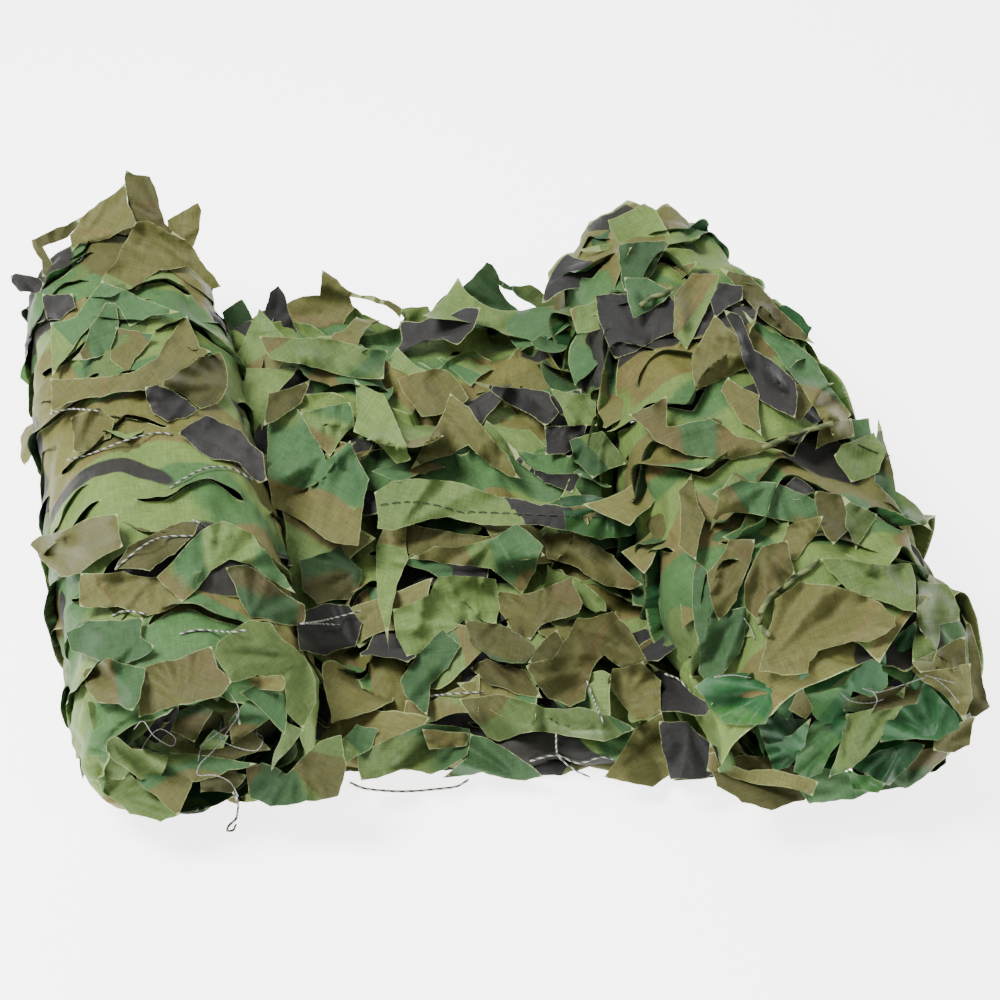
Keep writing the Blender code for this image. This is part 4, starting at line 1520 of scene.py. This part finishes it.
def add_picture_leaf(shape, below, leaf, seed, lift=0.004):
    """Adds one leaf to a bmesh, and returns its points and faces.

    A leaf with no plane lies on what is below it: on the mean slope of the cloth there,
    never under it, with its lower end lifted a little.
    """
    cloth, outline, plane, holes = leaf
    spots, faces, shore = fill_outline(outline, holes, LEAF_STEP, seed)
    middle = sum(spots, Vector((0, 0))) / len(spots)
    folded = 1.35 if cloth == SLOT_OF["green"] else 1.0
    root = Vector(outline[int(len(outline) * chance(seed, "root"))])
    sights = [sight_line(p.x, p.y) for p in spots]
    if plane:
        origin, normal = Vector(plane[0]), Vector(plane[1])
        cloth_depths = [None] * len(spots)
        depths = [(origin - EYE).dot(normal) / sight.dot(normal) for sight in sights]
    else:
        depths, cloth_depths = depths_on_cloth(below, spots, sights, middle)
    tops = [p.y for p in spots]
    height = max(tops) - min(tops)
    sloped = [depth - lift * (p.y - min(tops)) / height - 0.001 for p, depth in zip(spots, depths)]
    depths = clear_of(sloped, cloth_depths, faces)
    turn = 6.28 * chance(seed, "turn")
    edge, prints = shape.verts.layers.float["cut_edge"], shape.loops.layers.uv["cloth"]
    made, at = [], {}
    for p, sight, depth, inland in zip(spots, sights, depths, shore):
        depth -= folded * folds(p, middle, root, seed)
        place = EYE + sight * depth
        vert = shape.verts.new((place.x, place.y, min(max(place.z, LOWEST), HIGHEST)))
        vert[edge] = 1.0 if inland < 0.3 else 0.0
        made.append(vert)
        x, y = (p - middle) * METRES_PER_POINT
        across = x * math.cos(turn) - y * math.sin(turn)
        at[vert] = (across + seed + SHELF, x * math.sin(turn) + y * math.cos(turn))
    for corners in faces:
        face = shape.faces.new([made[i] for i in corners])
        face.smooth = True
        face.material_index = cloth
        face.normal_update()
        if face.normal.dot(EYE - made[corners[0]].co) < 0:
            face.normal_flip()
        for loop in face.loops:
            loop[prints].uv = at[loop.vert]
    return [vert.co.copy() for vert in made], faces


def mean_slope(known):
    """Least squares a + b x + c y through (x, y, value) triples."""
    rows = Matrix(((0, 0, 0), (0, 0, 0), (0, 0, 0)))
    right = Vector((0, 0, 0))
    for x, y, value in known:
        basis = Vector((1, x / 30, y / 30))
        for i in range(3):
            right[i] += basis[i] * value
            for j in range(3):
                rows[i][j] += basis[i] * basis[j]
    for i in range(3):
        rows[i][i] += 0.02
    found = rows.inverted() @ (right + Vector((0.02 * right[0] / max(1, len(known)), 0, 0)))
    return found[0], found[1] / 30, found[2] / 30


def bvh_of(objects):
    """A search tree of the objects as they look with their modifiers."""
    graph = bpy.context.evaluated_depsgraph_get()
    points, faces = [], []
    for piece in objects:
        mesh = piece.evaluated_get(graph).data
        first = len(points)
        points.extend(v.co.copy() for v in mesh.vertices)
        faces.extend([i + first for i in face.vertices] for face in mesh.polygons)
    return BVHTree.FromPolygons(points, faces)


def corner(word):
    """A picture point from its text, such as 441,318."""
    return tuple(int(number) for number in word.split(","))


def read_leaves(text):
    """Leaves from text, as [cloth, corners, plane, holes] each.

    A leaf starts with the name of its cloth. Then comes @ and a plane, if it hangs in one,
    and then its corners. After the word hole come the corners of an opening in it.
    """
    leaves, corners = [], []
    for word in text.split():
        if word in SLOT_OF:
            corners = []
            leaves.append([SLOT_OF[word], corners, None, []])
        elif word.startswith("@"):
            leaves[-1][2] = PLANES[word[1:]]
        elif word == "hole":
            corners = []
            leaves[-1][3].append(corners)
        else:
            corners.append(corner(word))
    return leaves


def picture_leaves(name, text, under=(), grow=1.0):
    """One object of leaves, each one laid over those before it."""
    shape = bmesh.new()
    shape.loops.layers.uv.new("cloth")
    shape.verts.layers.float.new("cut_edge")
    base = [bvh_of(under)] if under else []
    points, faces = [], []
    leaves = read_leaves(text)
    for i, (cloth, outline, plane, holes) in enumerate(leaves):
        heart = sum((Vector(p) for p in outline), Vector((0, 0))) / len(outline)
        outline = [tuple(heart + (Vector(p) - heart) * grow) for p in outline]
        below = base + ([BVHTree.FromPolygons(points, faces)] if points and not plane else [])
        seed = round(i * LEAF_APART + FIRST_SEED, 2)
        spots, corners = add_picture_leaf(shape, below, (cloth, outline, plane, holes), seed)
        faces.extend([i + len(points) for i in face] for face in corners)
        points.extend(spots)
    bmesh.ops.delete(shape, geom=[v for v in shape.verts if not v.link_faces], context="VERTS")
    mesh = finished_mesh(name, shape)
    for material in LEAF_CLOTHS.values():
        mesh.materials.append(material)
    print(name, len(leaves), "leaves,", round(flat_area(mesh), 4), "m2")
    return new_object(name, mesh)


# %% The planes that free leaves hang in: a point of each, and the way it faces
PLANES = {
    "back": ((0, 0.238, 0.03), (0, -0.95, 0.30)),
    "dark_peak": ((0, 0.229, 0.03), (0.2, -0.9, 0.3)),
    "left_corner": ((0, 0.222, 0.03), (0.1, -0.8, 0.5)),
    "right_corner": ((0, 0.232, 0.03), (-0.1, -0.85, 0.45)),
    "low_strip": ((0, 0.214, 0.03), (0, -0.6, 0.8)),
    "dark_strip": ((0, 0.218, 0.03), (0, -0.7, 0.7)),
    "brown_tip": ((0, 0.224, 0.03), (-0.3, -0.8, 0.5)),
    "left_peak": ((-0.262, 0.236, 0.105), (0, -0.75, 0.66)),
    "right_peak": ((0.165, 0.232, 0.105), (0, -0.75, 0.66)),
    "left_flank": ((-0.292, 0.140, 0.060), (-0.45, -0.6, 0.6)),
    "left_mouth": ((-0.14, -0.250, 0.05), (0, -0.95, 0.3)),
    "left_lip": ((-0.15, -0.268, 0.03), (0, -0.85, 0.5)),
    "left_lip_2": ((-0.15, -0.270, 0.03), (0, -0.85, 0.5)),
    "left_lip_3": ((-0.15, -0.272, 0.03), (0, -0.85, 0.5)),
    "right_mouth": ((0.29, -0.258, 0.055), (-0.05, -0.90, 0.43)),
    "right_lip": ((0.28, -0.272, 0.025), (0, -0.85, 0.5)),
    "front_1": ((0.20, -0.246, 0.020), (0, -0.80, 0.6)),
    "front_2": ((0.24, -0.262, 0.03), (0, -0.80, 0.6)),
    "front_3": ((0.27, -0.262, 0.03), (0, -0.80, 0.6)),
    "front_4": ((0.29, -0.258, 0.03), (0, -0.80, 0.6)),
    "hem": ((0, -0.020, 0.060), (0, -0.45, 0.9)),
    "hem_end": ((0, -0.020, 0.064), (-0.1, -0.45, 0.9)),
}

# %% The back edge: two peaks, with strips of cloth between the gaps
back_leaves = picture_leaves("back_leaves", """
    dark @dark_peak 256,342 260,322 266,304 270,292 278,286 283,291 288,308 298,332 292,340 274,338
    mixed @left_corner 222,312 242,299 250,312 256,330 272,309 285,325 296,338 290,352 262,352 236,348
        226,330
    brown @back 286,304 300,298 320,295 322,270 334,277 347,290 362,295 372,296 402,308 400,318 386,306
        364,299 350,297 354,308 346,318 338,332 350,348 330,338 316,330 298,333 288,322
    pale @back 350,304 362,314 396,330 404,318 400,308 428,306 436,318 432,334 444,345 430,356 398,360
        372,356 345,352 340,338
    pale @back 429,316 436,304 444,296 458,292 472,278 486,261 492,264 500,280 510,286 530,285 544,294
        560,298 580,296 578,302 560,320 550,317 530,304 512,291 499,285 506,299 522,315 540,328 528,338
        508,346 500,340 480,334 466,338 458,345 440,338 432,328 hole 441,318 444,308 452,305 458,307
        456,311 448,313
    pale @right_corner 430,330 445,345 470,350 500,350 520,338 542,328 556,318 560,304 577,300 584,315
        596,334 598,352 586,372 560,378 530,376 500,366 468,352 440,346
    mixed @low_strip 262,350 296,338 330,341 372,352 396,356 388,384 350,378 318,372 288,362
    brown @brown_tip 396,332 404,318 420,324 432,336 428,352 414,366 400,374 392,356
    dark @dark_strip 440,346 470,354 500,364 530,376 552,380 545,394 520,390 490,376 462,362
""")

# %% The left roll, leaf by leaf
left_roll_leaves = picture_leaves("left_roll_leaves", """
    dark 42,293 73,293 76,307 60,320 48,320
    brown @left_peak 125,170 150,177 159,200 165,223 187,240 167,235 147,227 137,227 128,203
    brown @left_peak 125,183 128,203 138,225 110,238 80,243 72,252 70,235 80,218 100,202
    brown @left_peak 167,220 198,203 202,210 199,230 193,247 180,242 168,230
    mixed @left_peak 32,240 47,232 67,225 82,217 78,227 68,237 53,243 43,247 53,267 55,275 42,277 41,260
        33,247
    dark @left_flank 10,275 15,273 38,277 45,284 39,295 20,292 12,283
    green @left_flank 20,378 25,360 28,348 43,345 48,360 43,390 37,393
    brown 187,315 200,347 211,351 187,373 167,390 145,390 100,397 72,402 50,413 50,378 83,378 130,373
        157,357 173,333
    mixed 137,222 147,220 167,232 188,242 200,260 213,275 221,287 213,289 200,277 187,266 160,270
        147,277 137,290 110,285 100,283 117,260
    pine 115,327 153,334 143,350 128,372 110,360
    pale 100,283 140,298 180,312 150,316 130,327 115,303 106,303 90,327 72,350 52,377 50,323 75,317
    pine 106,303 115,303 118,327 110,350 97,358 72,360 83,347 90,327
    brown 200,357 220,352 227,367 227,387 217,403 200,409 187,398 173,390 158,384 180,370
    dark 145,387 157,384 173,390 187,400 199,409 187,418 167,422 153,413 147,400
    mixed 72,427 70,417 100,408 115,420 110,437 90,450 73,452
    dark 177,433 207,415 240,430 263,453 267,480 258,483 240,463 213,460 197,450
    brown 30,545 39,536 84,520 118,514 123,546 107,554 86,568 81,573 61,577 39,557
    brown 81,573 123,571 154,577 200,571 195,588 179,604 146,616 118,607 80,607
    mixed 129,546 157,532 189,521 200,522 193,536 175,554 150,571 114,570
    mixed 223,520 250,532 271,557 286,577 295,593 250,564 229,559 211,571 182,602 157,577 179,554
        200,532
    mixed 225,568 246,564 275,586 304,604 304,625 271,621 250,618 238,596
    pine 66,632 89,620 143,618 141,636 154,646 143,657 118,668 89,657 71,650
    brown 143,668 171,661 211,646 218,668 232,682 221,695 186,704 154,714 139,718 138,700
    pale 250,620 271,623 282,639 304,657 316,682 316,704 304,729 286,711 284,679 257,675 232,682 214,654
        218,643
    pine 82,671 107,657 146,668 139,700 132,711 118,704 96,702
""", [left_outer])
# The leaves of the dim cloth are darkened as painted shade in the mouth.
left_mouth_leaves = picture_leaves("left_mouth_leaves", """
    dim @left_mouth 136,729 171,721 200,750 229,746 250,729 271,750 229,761 171,754 143,750
    pine @left_mouth 179,711 200,702 221,696 211,714 195,743 171,732
    mixed @left_mouth 246,700 282,693 275,714 250,732 232,746 229,721
    mixed @left_mouth 200,746 214,729 229,736 221,757 204,761
    dim @left_mouth 154,714 179,705 171,732 157,746 143,736
    mixed @left_lip 286,721 304,729 293,746 271,771 275,750
    brown @left_mouth 229,693 250,677 282,675 286,682 282,691 250,689
    mixed @left_lip 95,704 104,729 132,746 171,755 200,755 257,764 229,770 193,782 179,816 157,796
        138,782 132,768 104,746
    pine @left_lip 96,750 107,750 129,770 125,780 111,779 100,768
    dim @left_lip 200,775 229,768 246,775 232,793 200,793
    pine @left_lip_2 98,758 112,762 134,778 160,798 182,814 160,822 130,814 108,796
    pale @left_lip_3 86,694 95,704 104,729 132,748 168,757 160,778 140,780 120,764 104,750 90,722
    mixed @left_lip_3 246,768 262,762 286,774 302,758 320,742 342,735 346,765 338,796 306,801 270,806
        250,798
""", [left_mouth.piece])

# %% The open stretch, leaf by leaf
# The leaves of the dim cloth are darkened as painted shade, where the cloth lies in hollows.
stretch_leaves = picture_leaves("stretch_leaves", """
    dim 465,620 500,624 535,646 526,663 491,659 470,642
    dim 300,560 340,545 362,570 352,600 318,604 302,590
    mixed 269,421 292,402 326,460 350,440 369,479 359,545 326,540 273,507
    mixed 300,412 350,402 354,426 330,457
    brown 264,426 269,393 311,379 302,402
    mixed 259,336 302,338 354,345 388,350 383,379 345,376 302,364 269,357
    pale 354,379 383,393 411,460 397,464 373,440 354,431
    brown 397,379 445,369 469,398 445,412 421,417 407,398
    brown 450,393 469,407 507,455 521,479 497,469 469,445 450,455 411,469 430,436
    dark 469,379 507,388 550,393 559,412 545,426 526,412 488,388
    pine 550,388 597,393 597,426 569,426 559,402
    dark 545,426 588,424 583,440 564,455 545,455
    pine 569,440 602,431 626,464 592,479 573,460
    dark 507,440 526,464 554,474 583,474 573,493 545,483 516,460
    mixed 383,517 411,524 450,531 488,536 511,531 545,555 469,560 411,555 388,540
    mixed 376,546 383,529 407,520 409,559 393,603 389,655 378,603
    pine 543,533 578,533 613,555 643,585 630,590 604,585 578,568 548,559
    mixed 409,559 435,546 465,546 496,537 517,524 543,546 535,572 522,594 491,568 443,563
    brown 528,663 557,629 565,646 552,663
    pale 393,609 430,594 439,577 496,579 500,607 496,624 465,620 430,646 407,657 396,637
    brown 470,668 487,659 526,670 543,698 517,694 491,685
    pine 400,681 443,629 461,646 448,668 430,685 426,716 404,694
    brown 496,590 526,594 570,577 583,603 578,613 543,624 530,640 513,633 500,611
    brown 578,618 613,611 630,629 648,663 622,668 604,655 596,663 585,700 570,707 548,698 526,666
        552,659
    dark 648,663 683,681 693,694 713,703 704,716 678,711 659,711 657,685
    brown 613,668 643,661 661,681 661,711 639,724 622,703 607,681
    mixed 357,755 426,724 470,729 467,755 430,774 404,768 361,781
    pine 459,698 496,694 543,707 578,707 635,729 604,742 570,737 543,731 500,742 487,737 474,720
    mixed 470,733 496,744 543,777 526,781 483,772 443,777 467,757
    pale 300,792 309,763 357,724 378,729 370,750 326,777
    brown 422,729 470,733 467,746 430,750
    dark 670,729 700,737 717,768 717,777 674,781 672,750
    brown 604,777 635,729 661,711 670,746 674,772 652,787 622,781
    dark 298,615 324,604 350,606 362,622 356,646 326,655 300,650
""", [stretch_lower, stretch_upper, left_outer, right_outer])

# %% The right roll, leaf by leaf
right_roll_leaves = picture_leaves("right_roll_leaves", """
    pale @right_peak 578,250 619,243 651,230 669,241 628,245 583,252
    brown 719,268 751,277 778,309 815,345 787,336 760,318 737,291
    mixed 742,309 774,332 815,359 833,391 851,414 833,436 801,386 774,350
    dark 596,295 624,293 665,291 683,309 687,323 665,336 646,345 615,359 605,336
    pale 619,245 665,241 669,245 655,268 646,282 624,291
    pine 624,277 646,277 674,291 665,300 633,318
    mixed 692,273 719,275 715,291 687,350 674,336 674,295
    dark 719,282 742,286 742,300 724,309 715,318 710,300
    brown 715,314 737,336 746,368 715,382 696,391 692,355
    dark 724,309 742,318 755,350 796,382 796,418 760,400 746,368 737,336
    brown 728,377 760,395 762,436 742,423 721,391
    mixed 628,414 667,395 667,427 710,418 737,436 778,445 733,459 687,455 655,441
    mixed 878,418 887,450 896,491 924,514 933,532 905,518 874,482
    brown 819,427 851,418 855,436 815,450
    pale 842,445 874,432 887,450 878,473 851,482 833,455
    dark 778,491 796,477 815,491 796,500
    mixed 678,491 692,473 705,518 696,560 678,545
    pine 719,491 742,480 774,482 815,500 828,514 796,523 755,514 724,514 710,532
    brown 815,491 842,495 851,527 833,545 819,518
    brown 778,559 787,527 824,516 815,536 796,560
    pale 842,495 878,514 855,550 846,527
    pine 696,562 709,573 716,614 747,607 742,647 729,666 714,688 699,673 696,633
    brown 707,573 729,540 755,540 746,573 736,599 718,621
    brown 744,584 762,547 788,540 796,573 770,596 759,621 747,610
    pale 820,559 851,560 910,563 916,581 918,607 870,597 846,588 831,573
    brown 799,581 818,584 849,590 881,603 896,612 897,621 886,634 868,642 836,646 818,651 809,662
        807,673 781,675 759,671 764,651 770,625 775,599
    pale 918,581 947,584 959,610 960,621 940,625 933,662 912,662 916,621
    brown 912,662 936,651 966,636 966,666 940,670 921,673
    brown 962,614 970,625 981,662 990,707 973,718 962,688 968,666
""", [right_outer])
# The leaf of the dim cloth is darkened as painted shade in the mouth.
right_mouth_leaves = picture_leaves("right_mouth_leaves", """
    dim @right_mouth 847,699 877,688 907,688 921,681 914,703 870,714 847,710
    green @right_mouth 877,651 914,625 912,666 907,684 884,670
    green @right_mouth 699,688 716,677 751,675 770,690 762,721 725,721 712,707
    green @right_mouth 747,684 753,675 805,673 799,699 786,718 777,712 762,699
    green @right_mouth 757,694 770,703 786,718 807,720 788,736 766,742 760,718
    brown @right_mouth 801,684 812,707 805,718 790,709 796,696
    green @right_mouth 805,677 821,651 833,646 836,660 847,671 881,651 883,684 868,696 851,690 846,701
        847,714 825,720 812,705
    brown @right_mouth 831,647 847,646 859,651 855,662 842,664
    green @right_mouth 766,742 792,736 809,721 803,746 788,766 775,768
    green @right_mouth 796,770 801,746 816,723 846,720 838,742 821,770 810,775
    green @right_mouth 884,740 899,707 918,677 933,692 952,712 956,727 936,738
    pale @right_mouth 833,773 844,740 849,716 888,703 901,690 899,707 883,731 862,757 846,768
    green @right_lip 855,766 881,751 905,744 921,746 910,762 890,783 873,777
    brown @right_mouth 912,666 929,673 968,666 970,696 962,718 951,703 936,688 921,677
    brown @right_lip 936,736 959,725 973,718 968,744 955,751 936,749
    brown @right_lip 714,744 723,766 751,771 792,775 812,781 807,794 781,786 740,779 712,771
    green @right_lip 849,771 870,777 884,783 877,792 855,788
    dark @front_1 662,725 688,725 714,747 718,770 688,777 673,777
    mixed @front_2 716,768 742,758 772,760 800,770 814,782 800,798 770,808 745,800 722,786
    pine @front_3 796,778 822,770 850,774 872,786 850,798 812,802
    pine @front_4 868,772 896,758 934,750 946,756 930,770 906,786 880,790
""", [right_mouth.piece], 1.12)

# %% [markdown]
# ## The hem
# The cloth's own edge is folded over and sewn with a lockstitch. It crosses the open
# stretch as a flat band, and it is the one straight line in the whole bundle.

# %% The hem band
hem_band = picture_leaves("hem_band", """
    mixed @hem 374,492 392,481 430,480 470,486 500,497 540,505 566,507 600,500 632,506 646,522 622,532
        590,535 560,530 520,525 480,524 450,517 420,522 396,530 378,528
    green @hem_end 560,497 580,495 612,500 640,506 652,522 630,536 600,540 566,530
""")
HEM_DYES = ((0.030, "pale"), (0.066, "dark"), (0.084, "brown"))  # the print along the band, by x
for face in hem_band.data.polygons:
    for edge_x, dye in HEM_DYES:
        if face.material_index == SLOT_OF["mixed"] and face.center.x + 0.5 * face.center.y < edge_x:
            face.material_index = SLOT_OF[dye]


# %% The hem's stitches
SHOWN_TWINE, THREAD, HEM_THREAD, STRIP = 0.0006, 0.0003, 0.0004, 0.0018  # radii in metres


def stitches(path, pitch, share, height):
    """Short runs along a path, each arched over the cloth like a lockstitch."""
    fine, runs, travelled = smooth_route(path, 12), [[]], 0.0
    for a, b in zip(fine, fine[1:]):
        travelled += (b - a).length
        phase = (travelled / pitch) % 1
        if phase < share:
            runs[-1].append(b + Vector((0, 0, height * math.sin(math.pi * phase / share))))
        else:
            runs.append([])
    return [run for run in runs[:-1] if len(run) > 1]


hem_tree = bvh_of([hem_band])
hem_line = []
for px in range(380, 640, 3):
    ripple = 7 * math.sin((px - 370) / 28) if px < 470 else 0
    hit = hem_tree.ray_cast(EYE, sight_line(px, 508 - ripple + 0.045 * (px - 376)))[0]
    if hit:
        hem_line.append(hit + Vector((0, -0.0003, 0.0006)))
hem_runs = stitches(hem_line, 0.0085, 0.7, 0.0008)
hem_stitches = tube("hem_stitches", hem_runs, HEM_THREAD, dark_thread, lay=0.002)
print("stitches in the hem", len(hem_runs))


# %% Twine through the open cuts, from stitch to stitch
def stitched_runs(cut, bow=0.006):
    """The twine on the upper half of a roll: it shows as an arc across each open cut."""
    points, runs = cut.piece.data.vertices, []
    for (row, cell), i in cut.stitched.items():
        j = cut.stitched.get((row, cell + 1))
        if j is None or chance("twine", row, cell) > 0.8:
            continue
        a, b = points[i].co.copy(), points[j].co.copy()
        seen = min(a.z, b.z) > 0.03 and (a - b).length < 0.13
        if not seen:
            continue
        inward = -(points[i].normal + points[j].normal) / 2
        ahead = Vector((0, 1, 0)) * bow * (0.4 + 0.8 * chance("bow", row, cell))
        first, last = (a * 3 + b) / 4 + ahead * 0.7, (a + b * 3) / 4 + ahead * 0.7
        middle = (a + b) / 2 + ahead + inward * -0.003
        runs.append(smooth_route([a + inward * 0.002, first, middle, last, b + inward * 0.002], 4))
    return runs


left_twine = tube("left_twine", stitched_runs(left_cloth), SHOWN_TWINE, twist)
right_twine = tube("right_twine", stitched_runs(right_cloth), SHOWN_TWINE, twist)
print("runs of twine on the rolls are laid")

# %% Twine and threads that show one by one
ALL_CLOTH = bvh_of([
    left_outer, right_outer, left_roll_leaves, left_mouth_leaves, left_mouth.piece, right_mouth.piece,
    stretch_leaves, right_roll_leaves, right_mouth_leaves, stretch_lower, stretch_upper,
])


def mean(values):
    return sum(values) / len(values)


def picture_runs(text, nearer):
    """Smooth runs just in front of what lies there, one for each line of picture points."""
    found = []
    for line in text.strip().splitlines():
        fine = smooth_route([(*corner(word), 0) for word in line.split()], 6)
        sights = [sight_line(p.x, p.y) for p in fine]
        depths = []
        for sight in sights:
            hit = ALL_CLOTH.ray_cast(EYE, sight)[3]
            floor_depth = (EYE.z - 0.002) / -sight.z
            depths.append(floor_depth if hit is None else min(floor_depth, hit / sight.length))
        for pick in (min, mean):
            depths = [pick(depths[max(0, i - 2) : i + 3]) for i in range(len(depths))]
        found.append([EYE + sight * (depth - nearer) for sight, depth in zip(sights, depths)])
    return found


TWINE_RUNS = """
    67,460 93,453 127,440 157,433 173,435
    170,488 187,477 207,468 230,468 253,480
    116,568 143,546 164,537 193,536
    193,520 199,523 205,527
    112,616 125,611 146,614
    180,634 200,630 229,632 246,630
    303,623 320,624 339,625
    50,414 70,409 100,411
    300,624 326,620 361,611
    430,696 452,694 483,692
    530,761 556,755 578,763 600,757 613,759
    556,733 558,755 575,770 590,777
    587,681 595,703 604,724
    665,674 678,679 691,692
"""
THREAD_RUNS = """
    141,750 150,736 161,729 175,738 171,746 154,736 143,721 134,729
    229,691 239,711 229,729 214,750 200,764 198,775 214,775 230,782 238,796
    221,721 221,739 239,748 257,750 263,738 255,732
    198,761 202,746 214,736 229,725
    862,688 877,692 899,686 925,677
    840,692 851,701 870,703 884,699
    870,688 877,699 873,709
    933,677 947,688 959,703
    925,675 940,679 955,683
    744,618 751,629 755,640
    714,677 733,675 751,678
"""
STRIP_RUNS = """
    762,448 778,441 796,434 833,423
    818,559 810,568 796,577 784,588 771,596 762,610 760,625 770,636
    640,306 650,298 662,294 672,288
"""
shown_twine = tube("shown_twine", picture_runs(TWINE_RUNS, 0.0012), SHOWN_TWINE, twist, sides=8)
threads = picture_runs(THREAD_RUNS, 0.002)
mouth_threads = tube("mouth_threads", threads, THREAD, pale_thread, sides=6, lay=0.003)
strips = picture_runs(STRIP_RUNS, 0.002)
twisted_strips = tube("twisted_strips", strips, STRIP, strip, sides=8, lay=0.014)
print("threads", len(threads), "strips", len(strips))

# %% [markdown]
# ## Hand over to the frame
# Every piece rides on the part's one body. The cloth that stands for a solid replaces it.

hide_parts("left_roll")
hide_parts("right_roll")
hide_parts("open_stretch")
for piece, cut, core in (
    (left_outer, left_cloth, left_core), (right_outer, right_cloth, right_core),
    (left_inner, left_cloth, left_core), (right_inner, right_cloth, right_core),
):
    soften(piece)
for cut in (lower_cloth, upper_cloth):
    soften(cut.piece)
mouths = (left_mouth, right_mouth, left_tail, right_tail)
for cut in mouths:
    soften(cut.piece)
drawn = (
    back_leaves, left_roll_leaves, left_mouth_leaves, stretch_leaves, right_roll_leaves,
    right_mouth_leaves, hem_band,
)
for piece in (hem_stitches, left_twine, right_twine, shown_twine, mouth_threads, twisted_strips):
    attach(piece, "root")
for piece in (
    *drawn, left_outer, right_outer, left_inner, right_inner, left_core, right_core,
    stretch_lower, stretch_upper, stretch_bottom, *(cut.piece for cut in mouths),
):
    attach(piece, "root")

bpy.data.objects.remove(ground)
